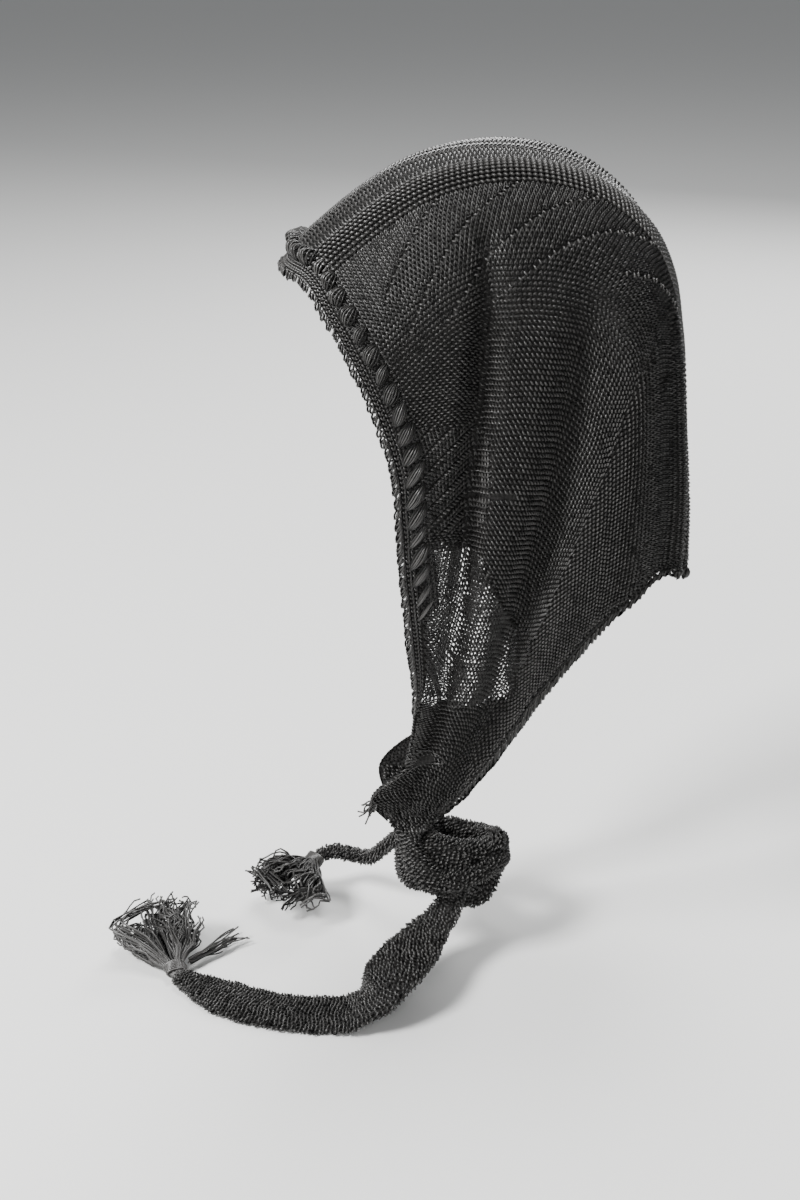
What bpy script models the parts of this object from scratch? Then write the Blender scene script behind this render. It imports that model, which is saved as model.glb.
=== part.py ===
"""Knitted bonnet: a hollow hood with a braided front, picot edgings, a knot and two tasselled ties.

Lengths in the tables are millimetres. The face looks along -Y, the wearer's left is +X, and the
origin is the top of the hollow, where the bonnet sits on a head.
"""
import math

import bpy
import numpy as np

MM = 0.001
WALL = 2.0
GAP = 0.7
SEAM = 1.6

# Midline of the hood seen from the side, from the forehead over the crown to the nape
MIDLINE = (
    # y, z
    (-111, -60),
    (-99, -46),
    (-83, -32),
    (-67, -20),
    (-47, -8),
    (-26, -1),
    (0, WALL),
    (25, -0.5),
    (46, -7),
    (66, -20),
    (81, -36),
    (90, -54),
    (97, -84),
    (105, -137),
    (112, -195),
    (114, -230),
)

# Edge of the face opening seen from the side, from the forehead down to the gathered lappet end
FACE_EDGE = (
    # y, z
    (-111, -60),
    (-98, -62),
    (-86, -76),
    (-72, -98),
    (-63, -116),
    (-56, -134),
    (-51, -154),
    (-49, -178),
    (-47.5, -202),
    (-45, -230),
    (-42.5, -260),
    (-39.5, -292),
    (-40, -314),
    (-44, -338),
    (-64, -370),
    (-54, -387),
)

# Lower edge seen from the side, from the nape round the back corner and down to the lappet end
HEM_EDGE = (
    # y, z
    (114, -230),
    (108, -219),
    (96, -212),
    (78, -225),
    (69, -232),
    (60, -243),
    (51, -257),
    (41, -274),
    (31, -292),
    (21, -312),
    (10, -332),
    (-1, -350),
    (-14, -370),
    (-28, -387),
)

# Half width of the hood at each height
HALF_WIDTH = (
    # z, half width
    (2, 80),
    (-120, 80),
    (-160, 79),
    (-200, 74),
    (-230, 69),
    (-260, 60),
    (-290, 49),
    (-320, 39),
    (-350, 32),
    (-370, 25),
    (-387, 16),
)

# Hanging folds of the side panels: where each valley lies and how deep it is at each height
FOLDS = (
    # z, narrow valley y, its depth, broad valley y, its depth
    (-25, -5, 0, 46, 0),
    (-60, -3, 4, 46, 3),
    (-110, -3, 6, 43, 8),
    (-200, -5, 7, 31, 10),
    (-285, -16, 6, 15, 8),
    (-340, -30, 4, -5, 5),
    (-380, -42, 0, -22, 0),
)
NARROW_FOLD = 7.0
BROAD_FOLD = 12.0
RIGHT_FOLD_SHARE = 0.7
RIGHT_LAPPET_BACK = 18.0
RIGHT_LAPPET_FROM = -288.0

# How far the roll of the crown reaches down the profile, at the face and behind it
ROLL_AT_FACE = 105.0
ROLL_BEHIND = 80.0
ROLL_CHANGE = 0.25
TOP_BAND = 52.0
TOP_BAND_SHARE = 0.14
CREASE_HEIGHT = 4.0
CREASE_WIDTH = 7.0
CREASE_START = 0.55

# Trim widths, measured in the cloth from the free edge inwards
PICOT_WIDTH = 8.0
BRAID_WIDTH = 10.5
BRAID_THICKNESS = 6.0
HEM_WIDTH = 8.0
EDGING_THICKNESS = 2.6
SCALLOP_DEPTH = 2.4
FACE_SCALLOPS = 54
HEM_SCALLOPS = 41
BRAID_PUFFS_A_SIDE = 24
FULL_LAPPET = 80.0
TRIM_FADES_AT = 0.70
TRIM_ENDS_AT = 0.84
TRIM_END_SHARE = 0.25

# Mesh density of the hood: columns from face to nape, rows from midline to lappet end
HOOD_COLUMNS = 26
HOOD_ROWS = 21

# Knot: a thick ring of knitted tie round the throat's axis, with the tied lump at the front left
THROAT_Y = -10.0
THROAT_RADIUS = 14.5
KNOT_Z = -411.5
KNOT_TILT = 7.0
KNOT_TOP = -388.0
RING_RADIUS = 8.5
RING_HEIGHT = 10.0
LUMP_ANGLE = math.radians(-62)
LUMP_SPREAD = math.radians(52)
LUMP_RADIUS = 6.5
LUMP_HEIGHT = 10.0
FLOOR_Z = -472.5

# Free ends of the ties: centre line, breadth and thickness at each station
TIE_LEFT = (
    # x, y, z, breadth, thickness
    (26, -11, -421.3, 15, 7),
    (29, -15, -430.5, 17, 6),
    (36, -22, -439.5, 21, 5.5),
    (46, -31, -444.5, 27, 5),
    (60, -39, -446.5, 34, 4),
    (74, -46, -446.5, 36, 3.5),
    (84, -53, -449.5, 36, 3.5),
    (90, -62, -459.5, 35, 3.5),
    (91, -75, -468.5, 34, 3.5),
    (90, -90, -470.5, 34, 3.5),
    (88, -110, -470.5, 33, 3.5),
    (82, -131, -470.5, 32, 3.5),
    (72, -152, -470, 28, 4),
    (64, -166, -468.5, 18, 5),
    (58, -176, -467.5, 10, 7),
)
TIE_RIGHT = (
    # x, y, z, breadth, thickness
    (-13.7, -42.9, -411.7, 10, 9),
    (-23, -55, -427, 10, 8),
    (-33, -66, -441.5, 9, 8),
    (-42, -79, -444.5, 9, 8),
    (-46, -89, -445, 8, 8),
    (-44, -97, -446, 7, 7),
)

# Tassels: radius and flattening along the axis from the bound neck to the tips of the locks
TASSEL = (
    # share of length, radius, lock depth
    (0.00, 2.5, 0.0),
    (0.06, 6.0, 0.0),
    (0.14, 5.0, 0.0),
    (0.26, 11, 1.5),
    (0.45, 18, 3.0),
    (0.70, 24, 5.0),
    (0.90, 25, 7.0),
    (1.00, 19, 6.0),
)
TASSEL_LOCKS = 9
TASSEL_LEFT = {"neck": (56.8, -177.4, -467.1), "tip": (1, -198, -455.5), "flatten": 0.62}
TASSEL_RIGHT = {"neck": (-42.7, -98.6, -446.4), "tip": (-10, -127, -457.5), "flatten": 0.62}

BLACK_YARN = (0.012, 0.011, 0.012, 1.0)
CHARCOAL_YARN = (0.022, 0.021, 0.022, 1.0)
YARN_ROUGHNESS = 0.8


def clear_scene():
    """Remove every object of the open file."""
    for item in list(bpy.data.objects):
        bpy.data.objects.remove(item, do_unlink=True)


def yarn(name, colour):
    """Return a plain yarn material of the given colour."""
    material = bpy.data.materials.new(name)
    material.use_nodes = True
    shader = material.node_tree.nodes["Principled BSDF"]
    shader.inputs["Base Color"].default_value = colour
    shader.inputs["Roughness"].default_value = YARN_ROUGHNESS
    shader.inputs["Metallic"].default_value = 0.0
    return material


def curve(rows, share):
    """Return the points at the given shares of a table's length, on a cubic through its rows."""
    rows = np.asarray(rows, float)
    along = np.concatenate([[0.0], np.cumsum(np.linalg.norm(np.diff(rows, axis=0), axis=1))])
    slope = np.gradient(rows, along, axis=0)
    place = np.clip(share, 0.0, 1.0) * along[-1]
    i = np.clip(np.searchsorted(along, place, side="right") - 1, 0, len(along) - 2)
    step = along[i + 1] - along[i]
    u = ((place - along[i]) / step)[..., None]
    step = step[..., None]
    start = (2 * u**3 - 3 * u**2 + 1) * rows[i] + (u**3 - 2 * u**2 + u) * step * slope[i]
    end = (3 * u**2 - 2 * u**3) * rows[i + 1] + (u**3 - u**2) * step * slope[i + 1]
    return start + end


def length(rows):
    """Return the chord length of a table's first two columns."""
    rows = np.asarray(rows, float)[:, :2]
    return float(np.linalg.norm(np.diff(rows, axis=0), axis=1).sum())


def column(rows, z, index):
    """Return a table's column interpolated at heights z; the table's first column falls."""
    rows = np.asarray(rows, float)[::-1]
    return np.interp(z, rows[:, 0], rows[:, index])


def smooth(x):
    """Return the smooth step of x between 0 and 1."""
    x = np.clip(x, 0.0, 1.0)
    return x * x * (3 - 2 * x)


def side_map(p, f):
    """Return y and z where share p from face to hem meets share f from midline to lappet end."""
    p = p[..., None]
    f_column = f[..., None]
    top = curve(MIDLINE, p[..., 0])
    face = curve(FACE_EDGE, f)
    hem = curve(HEM_EDGE, f)
    tip = (1 - p) * np.array(FACE_EDGE[-1], float) + p * np.array(HEM_EDGE[-1], float)
    rim = (1 - f_column) * ((1 - p) * np.array(MIDLINE[0], float) + p * np.array(MIDLINE[-1], float))
    blend = (1 - f_column) * top + f_column * tip + (1 - p) * face + p * hem
    return blend - rim - f_column * tip


def surface(p, q, side=1):
    """Return outer points of the hood.

    p runs from the face edge (0) to the hem (1), q from the midline (0) to the lappet end (1),
    and side is 1 for the wearer's left and -1 for the right.
    """
    p = np.asarray(p, float) + 0.0 * np.asarray(q, float)
    q = np.asarray(q, float) + 0.0 * p
    reach = (1 - p) * length(FACE_EDGE) + p * length(HEM_EDGE)
    roll = ROLL_BEHIND + (ROLL_AT_FACE - ROLL_BEHIND) * smooth(1 - p / ROLL_CHANGE)
    arc = (roll + HALF_WIDTH[0][1]) / 2
    total = reach + arc * math.pi / 2 - roll
    below = (q - TOP_BAND_SHARE) / (1 - TOP_BAND_SHARE)
    along = np.where(below < 0, TOP_BAND * q / TOP_BAND_SHARE, TOP_BAND + below * (total - TOP_BAND))
    angle = np.minimum(along / arc, math.pi / 2)
    crease_at = (along - arc * math.pi / 4) / CREASE_WIDTH
    crease = CREASE_HEIGHT * smooth((p - CREASE_START) / 0.15) * np.exp(-crease_at**2)
    down = roll * (1 - np.cos(angle)) + np.maximum(along - arc * math.pi / 2, 0)
    plane = side_map(p, np.clip((down - crease) / reach, 0, 1))
    y, z = plane[..., 0], plane[..., 1]
    if side < 0:
        fallen = np.clip((z - RIGHT_LAPPET_FROM) / (FACE_EDGE[-1][1] - RIGHT_LAPPET_FROM), 0, 1)
        y = y + RIGHT_LAPPET_BACK * np.sin(math.pi * fallen) ** 2
    x = column(HALF_WIDTH, z, 1) * np.sin(angle) + 0.7 * crease
    share = 1.0 if side > 0 else RIGHT_FOLD_SHARE
    narrow = column(FOLDS, z, 2) * np.exp(-((y - column(FOLDS, z, 1)) / NARROW_FOLD) ** 2)
    broad = column(FOLDS, z, 4) * np.exp(-((y - column(FOLDS, z, 3)) / BROAD_FOLD) ** 2)
    x = x - share * (narrow + broad) * smooth((angle - 0.7) / 0.6)
    return np.stack([side * x, y, z], axis=-1)


def frame(p, q, side):
    """Return the point, the outward normal and the two tangents along p and q."""
    e = 1e-3
    point = surface(p, q, side)
    along_p = surface(np.minimum(p + e, 1), q, side) - surface(np.maximum(p - e, 0), q, side)
    along_q = surface(p, np.minimum(q + e, 1), side) - surface(p, np.maximum(q - e, 0), side)
    at_midline = np.asarray(q + 0 * p) < e
    along_q[at_midline] = np.array([side, 0.0, 0.0]) * np.abs(along_q[at_midline, :1])
    width_p = np.minimum(p + e, 1) - np.maximum(p - e, 0)
    normal = np.cross(along_q, along_p) * -side
    normal /= np.linalg.norm(normal, axis=-1, keepdims=True)
    return point, normal, along_p / width_p[..., None], along_q


def trim_share(edge, q, side):
    """Return how much of its full width a trim keeps: it narrows with the lappet and at its end."""
    ends = surface(np.ones_like(q), q, side) - surface(np.zeros_like(q), q, side)
    share = np.minimum(np.linalg.norm(ends, axis=-1) / FULL_LAPPET, 1.0)
    if edge == 1:
        return share
    fade = smooth((q - TRIM_FADES_AT) / (TRIM_ENDS_AT - TRIM_FADES_AT))
    tail = np.clip((1 - q) / (1 - TRIM_ENDS_AT), 0, 1)
    return share * (1 - (1 - TRIM_END_SHARE * tail) * fade)


def inset(edge, q, distance, side, clear=0.0):
    """Return the place p at a distance, and then a clearance, in from the face (0) or hem (1) edge."""
    p = np.full_like(q, float(edge))
    _, _, along_p, along_q = frame(p, q, side)
    speed = np.linalg.norm(np.cross(along_p, along_q), axis=-1) / np.linalg.norm(along_q, axis=-1)
    step = (distance * trim_share(edge, q, side) + clear) / speed
    return p + step if edge == 0 else p - step


def both_sides(steps, end=1.0):
    """Return signed places along an edge, from the right lappet over the midline to the left."""
    q = np.linspace(0, end, steps + 1)
    return np.concatenate([-q[:0:-1], q])


def edge_frame(edge, signed_q, distance):
    """Return points and normals a distance in from an edge, for signed places along it."""
    points = np.empty((len(signed_q), 3))
    normals = np.empty((len(signed_q), 3))
    for side in (-1, 1):
        chosen = signed_q < 0 if side < 0 else signed_q >= 0
        q = np.abs(signed_q[chosen])
        p = inset(edge, q, distance[chosen] if np.ndim(distance) else distance, side)
        points[chosen], normals[chosen] = frame(p, q, side)[:2]
    return points, normals


def closed_sweep(name, sections, material, loop=False):
    """Join rings of points into one closed solid, capped at both ends unless it is a loop."""
    count, ring = sections.shape[:2]
    faces = []
    for i in range(count if loop else count - 1):
        j = (i + 1) % count
        for k in range(ring):
            m = (k + 1) % ring
            faces.append((i * ring + k, i * ring + m, j * ring + m, j * ring + k))
    if not loop:
        faces.append(tuple(reversed(range(ring))))
        faces.append(tuple((count - 1) * ring + k for k in range(ring)))
    return solid(name, sections.reshape(-1, 3), faces, material)


def solid(name, points, faces, material):
    """Make an object from points in millimetres, with its faces turned outwards."""
    mesh = bpy.data.meshes.new(name)
    mesh.from_pydata((np.asarray(points) * MM).tolist(), [], faces)
    mesh.validate()
    item = bpy.data.objects.new(name, mesh)
    bpy.context.scene.collection.objects.link(item)
    item.data.materials.append(material)
    face_outwards(mesh)
    return item


def face_outwards(mesh):
    """Flip every face if the mesh encloses a negative volume."""
    mesh.calc_loop_triangles()
    points = np.array([v.co for v in mesh.vertices])
    corners = np.array([t.vertices for t in mesh.loop_triangles])
    a, b, c = points[corners[:, 0]], points[corners[:, 1]], points[corners[:, 2]]
    if np.einsum("ij,ij->i", a, np.cross(b, c)).sum() < 0:
        mesh.flip_normals()


def make_hood(material):
    """Knit the crown, side panels and lappets as one wall between the braid and the hem edging."""
    q = both_sides(HOOD_ROWS - 1)
    rows = []
    inner_rows = []
    for signed in q:
        side = -1 if signed < 0 else 1
        here = np.array([abs(signed)])
        start = inset(0, here, PICOT_WIDTH + BRAID_WIDTH + GAP, side, SEAM)[0]
        end = inset(1, here, HEM_WIDTH, side, SEAM)[0]
        p = np.linspace(start, end, HOOD_COLUMNS)
        point, normal, _, _ = frame(p, np.full_like(p, abs(signed)), side)
        rows.append(point)
        inner_rows.append(point - WALL * normal)
    outer = np.array(rows)
    inner = np.array(inner_rows)
    count, width = outer.shape[:2]
    size = count * width
    faces = []
    for i in range(count - 1):
        for j in range(width - 1):
            a = i * width + j
            faces.append((a, a + 1, a + width + 1, a + width))
            faces.append((size + a, size + a + width, size + a + width + 1, size + a + 1))
    rim = [i * width for i in range(count)]
    rim += [(count - 1) * width + j for j in range(1, width)]
    rim += [i * width + width - 1 for i in range(count - 2, -1, -1)]
    rim += [j for j in range(width - 2, 0, -1)]
    for a, b in zip(rim, rim[1:] + rim[:1]):
        faces.append((a, b, size + b, size + a))
    points = np.concatenate([outer.reshape(-1, 3), inner.reshape(-1, 3)])
    return solid("hood", points, faces, material)


def make_edging(name, edge, scallops, width, material):
    """Make a scalloped strip along an edge, its free side waving between full and reduced width."""
    q = both_sides(2 * scallops, TRIM_ENDS_AT if edge == 0 else 1.0)
    wave = np.where(np.arange(len(q)) % 2 == 0, SCALLOP_DEPTH, 0.0)
    outer, outer_normal = edge_frame(edge, q, wave)
    inner, inner_normal = edge_frame(edge, q, np.full_like(q, width))
    low = -0.5 * (WALL + EDGING_THICKNESS)
    high = low + EDGING_THICKNESS
    ring = [
        outer + low * outer_normal,
        outer + high * outer_normal,
        inner + high * inner_normal,
        inner + low * inner_normal,
    ]
    return closed_sweep(name, np.stack(ring, axis=1), material)


def make_braid(material):
    """Make the raised braid: a cord whose girth swells once for each puffed leaf."""
    q = both_sides(3 * BRAID_PUFFS_A_SIDE, TRIM_ENDS_AT)
    phase = np.arange(len(q)) % 3
    girth = np.choose(phase, [0.72, 1.0, 0.94])
    middle = PICOT_WIDTH + GAP + BRAID_WIDTH / 2
    reach = BRAID_WIDTH / 2 * girth
    ring = []
    for k in range(6):
        turn = math.pi * k / 3
        point, normal = edge_frame(0, q, middle - reach * math.cos(turn))
        share = np.concatenate([trim_share(0, -q[q < 0], -1), trim_share(0, q[q >= 0], 1)])
        lift = 0.3 + BRAID_THICKNESS / 2 * (girth * math.sin(turn))
        ring.append(point + (lift * share - WALL / 2 * (1 - share))[:, None] * normal)
    return closed_sweep("front_braid", np.stack(ring, axis=1), material)


def make_knot(material):
    """Make the tied ring round the throat, with ridges where its strands cross."""
    turns, ring_points = 36, 12
    sections = []
    for i in range(turns):
        theta = 2 * math.pi * i / turns
        away = (theta - LUMP_ANGLE + math.pi) % (2 * math.pi) - math.pi
        lump = math.exp(-((away / LUMP_SPREAD) ** 2))
        radius = RING_RADIUS + LUMP_RADIUS * lump
        height = RING_HEIGHT + LUMP_HEIGHT * lump
        centre = THROAT_RADIUS + radius
        section = []
        for k in range(ring_points):
            turn = 2 * math.pi * k / ring_points
            strand = 1 - 0.10 * (1 + math.cos(3 * turn + 2 * theta))
            out = centre + radius * math.cos(turn) * (strand if math.cos(turn) > 0 else 1.0)
            z = KNOT_Z + KNOT_TILT * math.cos(away) + height * math.sin(turn) * strand
            z = min(z, KNOT_TOP)
            section.append((out * math.cos(theta), THROAT_Y + out * math.sin(theta), z))
        sections.append(section)
    return closed_sweep("knot", np.array(sections), material, loop=True)


def make_tie(name, table, stations, material):
    """Sweep a flat, round-edged strip along a tie's stations."""
    rows = curve(table, np.linspace(0, 1, stations))
    centre, breadth, thickness = rows[:, :3], rows[:, 3], rows[:, 4]
    forward = np.gradient(centre, axis=0)
    forward /= np.linalg.norm(forward, axis=1, keepdims=True)
    across = np.cross(forward, (0.0, 0.0, 1.0))
    across /= np.linalg.norm(across, axis=1, keepdims=True)
    up = np.cross(across, forward)
    ring = []
    for wide, high in ((-0.5, 0), (-0.36, 0.5), (0.36, 0.5), (0.5, 0), (0.36, -0.5), (-0.36, -0.5)):
        ring.append(centre + across * (wide * breadth)[:, None] + up * (high * thickness)[:, None])
    return closed_sweep(name, np.stack(ring, axis=1), material)


def make_tassel(name, place, material):
    """Make a tassel: a bound neck and a skirt of locks that spreads and is fused to it."""
    neck = np.array(place["neck"], float)
    tip = np.array(place["tip"], float)
    axis = tip - neck
    forward = axis / np.linalg.norm(axis)
    across = np.cross(forward, (0.0, 0.0, 1.0))
    across /= np.linalg.norm(across)
    up = np.cross(across, forward)
    count = TASSEL_LOCKS * 4
    turn = np.arange(count) * 2 * math.pi / count
    lobe = 0.5 + 0.5 * np.cos(TASSEL_LOCKS * turn)
    ragged = 1 + 0.12 * np.sin(3 * turn + 0.7) + 0.08 * np.sin(5 * turn)
    sections = []
    for share, radius, depth in TASSEL:
        reach = radius - depth * (1 - lobe)
        wide = reach * np.cos(turn)
        high = place["flatten"] * reach * np.sin(turn)
        length_here = share * (1 + (ragged - 1) * share)
        centre = neck + axis * length_here[:, None]
        ring = centre + wide[:, None] * across + high[:, None] * up
        ring[:, 2] = np.maximum(ring[:, 2], FLOOR_Z)
        sections.append(ring)
    return closed_sweep(name, np.array(sections), material)


def main():
    """Build every piece of the bonnet."""
    clear_scene()
    hood_yarn = yarn("hood_yarn", BLACK_YARN)
    trim_yarn = yarn("trim_yarn", BLACK_YARN)
    tie_yarn = yarn("tie_yarn", CHARCOAL_YARN)
    make_hood(hood_yarn)
    make_edging("face_edging", 0, FACE_SCALLOPS, PICOT_WIDTH, trim_yarn)
    make_edging("hem_edging", 1, HEM_SCALLOPS, HEM_WIDTH, trim_yarn)
    make_braid(trim_yarn)
    make_knot(tie_yarn)
    make_tie("tie_left", TIE_LEFT, 27, tie_yarn)
    make_tie("tie_right", TIE_RIGHT, 9, tie_yarn)
    make_tassel("tassel_left", TASSEL_LEFT, tie_yarn)
    make_tassel("tassel_right", TASSEL_RIGHT, tie_yarn)


main()
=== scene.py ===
"""Knitted bonnet: yarn, trims, knot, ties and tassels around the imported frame."""

import logging
import math
from dataclasses import dataclass, field
from enum import Enum

import bpy
import numpy as np
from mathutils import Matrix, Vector

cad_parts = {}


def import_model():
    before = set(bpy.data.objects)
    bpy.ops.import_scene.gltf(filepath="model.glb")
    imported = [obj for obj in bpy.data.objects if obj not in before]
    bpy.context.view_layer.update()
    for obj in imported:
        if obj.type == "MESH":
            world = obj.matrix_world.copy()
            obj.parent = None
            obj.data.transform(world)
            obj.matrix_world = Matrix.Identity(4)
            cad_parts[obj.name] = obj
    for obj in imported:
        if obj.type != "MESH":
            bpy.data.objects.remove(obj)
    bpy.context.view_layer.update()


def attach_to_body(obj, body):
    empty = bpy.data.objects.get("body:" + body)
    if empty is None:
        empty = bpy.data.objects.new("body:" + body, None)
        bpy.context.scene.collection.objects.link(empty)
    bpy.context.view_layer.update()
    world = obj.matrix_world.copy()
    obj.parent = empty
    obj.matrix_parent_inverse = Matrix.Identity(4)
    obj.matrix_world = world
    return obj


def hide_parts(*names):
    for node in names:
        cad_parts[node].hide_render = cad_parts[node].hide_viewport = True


Array = np.ndarray
Rng = np.random.Generator
Material = bpy.types.Material
Object = bpy.types.Object
Tree = bpy.types.NodeTree
Socket = bpy.types.NodeSocket
MM = 0.001
WALL = 2.0

# The hood's own tables and sizes, in millimetres, as the frame was built
MIDLINE = (
    # y, z
    (-111, -60),
    (-99, -46),
    (-83, -32),
    (-67, -20),
    (-47, -8),
    (-26, -1),
    (0, WALL),
    (25, -0.5),
    (46, -7),
    (66, -20),
    (81, -36),
    (90, -54),
    (97, -84),
    (105, -137),
    (112, -195),
    (114, -230),
)
FACE_EDGE = (
    # y, z
    (-111, -60),
    (-98, -62),
    (-86, -76),
    (-72, -98),
    (-63, -116),
    (-56, -134),
    (-51, -154),
    (-49, -178),
    (-47.5, -202),
    (-45, -230),
    (-42.5, -260),
    (-39.5, -292),
    (-40, -314),
    (-44, -338),
    (-64, -370),
    (-54, -387),
)
HEM_EDGE = (
    # y, z
    (114, -230),
    (108, -219),
    (96, -212),
    (78, -225),
    (69, -232),
    (60, -243),
    (51, -257),
    (41, -274),
    (31, -292),
    (21, -312),
    (10, -332),
    (-1, -350),
    (-14, -370),
    (-28, -387),
)
HALF_WIDTH = (
    # z, half width
    (2, 80),
    (-120, 80),
    (-160, 79),
    (-200, 74),
    (-230, 69),
    (-260, 60),
    (-290, 49),
    (-320, 39),
    (-350, 32),
    (-370, 25),
    (-387, 16),
)
FOLDS = (
    # z, narrow valley y, its depth, broad valley y, its depth
    (-22, -5, 0, 46, 0),
    (-34, -5, 5, 46, 0),
    (-60, -3, 8, 46, 3),
    (-80, -4, 10, 44, 9),
    (-110, -6, 12, 41, 14),
    (-155, -11, 13, 35, 17),
    (-200, -13, 13, 26, 18),
    (-240, -16, 12, 17, 16),
    (-285, -22, 10, 9, 12),
    (-340, -33, 5, -8, 6),
    (-380, -42, 0, -22, 0),
)
NARROW_FOLD = 7.0
BROAD_FOLD = 11.0
RIGHT_FOLD_SHARE = 0.7
RIGHT_LAPPET_BACK = 18.0
RIGHT_LAPPET_FROM = -288.0
# How far round the crown's roll, in radians, the folds begin and over what turn they deepen
FOLDS_BEGIN = 0.7
FOLDS_DEEPEN_OVER = 0.35
# The roll of the crown, the flat band over it, the crease behind it and the fold low at the back
ROLL_AT_FACE = 105.0
ROLL_BEHIND = 80.0
ROLL_CHANGE = 0.25
TOP_BAND = 52.0
TOP_BAND_SHARE = 0.14
CREASE_HEIGHT = 4.0
CREASE_WIDTH = 7.0
CREASE_START = 0.55
CREASE_GROWS_OVER = 0.15
CREASE_OUT = 0.7
BACK_FOLD = 6.0
BACK_FOLD_AT = 13.0
BACK_FOLD_WIDTH = 4.5
BACK_FOLD_START = 0.66
BACK_FOLD_GROWS_OVER = 0.12
# Widths of the trims, and the shares down each side where they narrow, end and slide to the edge
PICOT_WIDTH = 8.0
BRAID_WIDTH = 10.5
HEM_WIDTH = 8.0
FULL_LAPPET = 80.0
TRIM_FADES_AT = 0.70
TRIM_ENDS_AT = 0.84
TRIM_END_SHARE = 0.25
TRIM_STOPS_AT = 0.42
BRAID_FADES_AT = 0.53
BRAID_ENDS_AT = 0.64
BRAID_SLIDE = 3.2
BRAID_SLIDES_AT = 0.32
BRAID_SLIDES_OVER = 0.15
PAST_EDGE_STEP = 2.0

# Stations of the grids that the cloth is read from
HOOD_GRID = (520, 620)
CROWN_GRID = (500, 149)
EDGE_GRID = (700, 24)
INNER_GRID = (90, 96)
SLEEVE_GRID = (260, 72)
COURSE_STATIONS = 420

# Knot, ties and tassels, in millimetres
GAP = 0.7
THROAT_Y = -10.0
FLOOR_Z = -472.5
TIE_LEFT = (
    # x, y, z, breadth, thickness
    (26, -11, -421.3, 15, 7),
    (29, -15, -430.5, 17, 6),
    (36, -22, -439.5, 21, 5.5),
    (46, -31, -444.5, 27, 5),
    (60, -39, -446.5, 34, 4),
    (74, -46, -446.5, 36, 3.5),
    (84, -53, -449.5, 36, 3.5),
    (90, -62, -459.5, 35, 3.5),
    (91, -75, -468.5, 34, 3.5),
    (90, -90, -470.5, 34, 3.5),
    (88, -110, -470.5, 33, 3.5),
    (82, -131, -470.5, 32, 3.5),
    (72, -152, -470, 28, 4),
    (64, -166, -468.5, 18, 5),
    (58, -176, -467.5, 10, 7),
    (56, -178.5, -466.8, 5, 4),
)
TIE_RIGHT = (
    # x, y, z, breadth, thickness
    (-13.7, -42.9, -411.7, 10, 9),
    (-23, -55, -427, 10, 8),
    (-33, -66, -441.5, 9, 8),
    (-42, -79, -444.5, 9, 8),
    (-46, -89, -445, 8, 8),
    (-44, -97, -446, 7, 7),
    (-42.3, -99.4, -446.5, 4, 4),
)
TASSEL = (
    # share of length, radius
    (0, 2.5),
    (0.06, 5.6),
    (0.14, 4.6),
    (0.24, 11),
    (0.40, 19),
    (0.58, 25),
    (0.80, 26),
    (1.0, 22),
    (1.2, 15),
)
KNOT_WRAP = (
    # angle, radius, z, breadth, thickness
    (-200, 22, -416, 13, 11),
    (-150, 23, -412, 15, 12),
    (-110, 25, -407, 19, 14),
    (-70, 28, -404, 22, 17),
    (-30, 29, -403, 21, 15),
    (10, 26, -404, 18, 13),
    (50, 24, -407, 16, 12),
    (90, 23, -411, 15, 12),
    (130, 22, -415, 14, 11),
    (160, 22, -416, 13, 11),
)
KNOT_CORD = (
    # angle, radius, z, breadth, thickness
    (-190, 22, -422, 13, 10),
    (-140, 25, -422, 15, 11),
    (-95, 32, -420, 16, 12),
    (-55, 37, -419, 15, 12),
    (-15, 36, -416, 13, 12),
    (25, 31, -412, 12, 11),
    (60, 27, -413, 12, 10),
    (100, 24, -418, 11, 9),
    (140, 22, -421, 12, 9),
    (170, 22, -422, 13, 10),
)
KNOT_LEFT = (
    # angle, radius, z, breadth, thickness
    (-55, 35.5, -369, 36, 2),
    (-58, 35, -378, 33, 4),
    (-61, 35.5, -388, 25, 6),
    (-54, 38.5, -397, 19, 8),
    (-42, 40, -406, 17, 10),
    (-24, 40, -415, 17, 9),
    (-6, 33, -421, 16, 7),
    (2, 28, -424, 15, 7),
)
KNOT_RIGHT = (
    # angle, radius, z, breadth, thickness
    (-125, 35.5, -369, 36, 2),
    (-122, 35, -378, 33, 4),
    (-119, 35.5, -388, 25, 6),
    (-126, 38, -397, 18, 8),
    (-134, 37, -405, 14, 9),
    (-127, 35, -412, 12, 9),
    (-112, 35, -413, 11, 8),
)
KNOT_TAIL = (
    # angle, radius, z, breadth, thickness
    (78, 23, -416, 18, 9),
    (56, 22, -424, 20, 9),
    (38, 22, -430, 20, 9),
    (16, 24, -432, 18, 8),
    (-2, 28, -428, 15, 7),
    (-6, 30, -421, 12, 6),
)
TIE_RINGS = 80
# neck, tip, height over breadth
TASSEL_LEFT = ((56.8, -177.4, -467.1), (1, -198, -455.5), 0.62)
TASSEL_RIGHT = ((-42.7, -98.6, -446.4), (-10, -127, -457.5), 0.62)

# Loose ends, from and to, in millimetres, with how far they scatter at the end
LOOSE_THREADS = 16
THREAD_RADIUS = 0.55
THREAD_CLEAR = 0.8
TASSEL_YARN = 0.72
FULL_TURN = 6.28
LAPPET_FRAY = ((23, -61, -369), (26, -70, -378), 5.0)
STRAY_LOCK = ((44, -172, -466), (5, -137, -468), 6.0)

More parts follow.
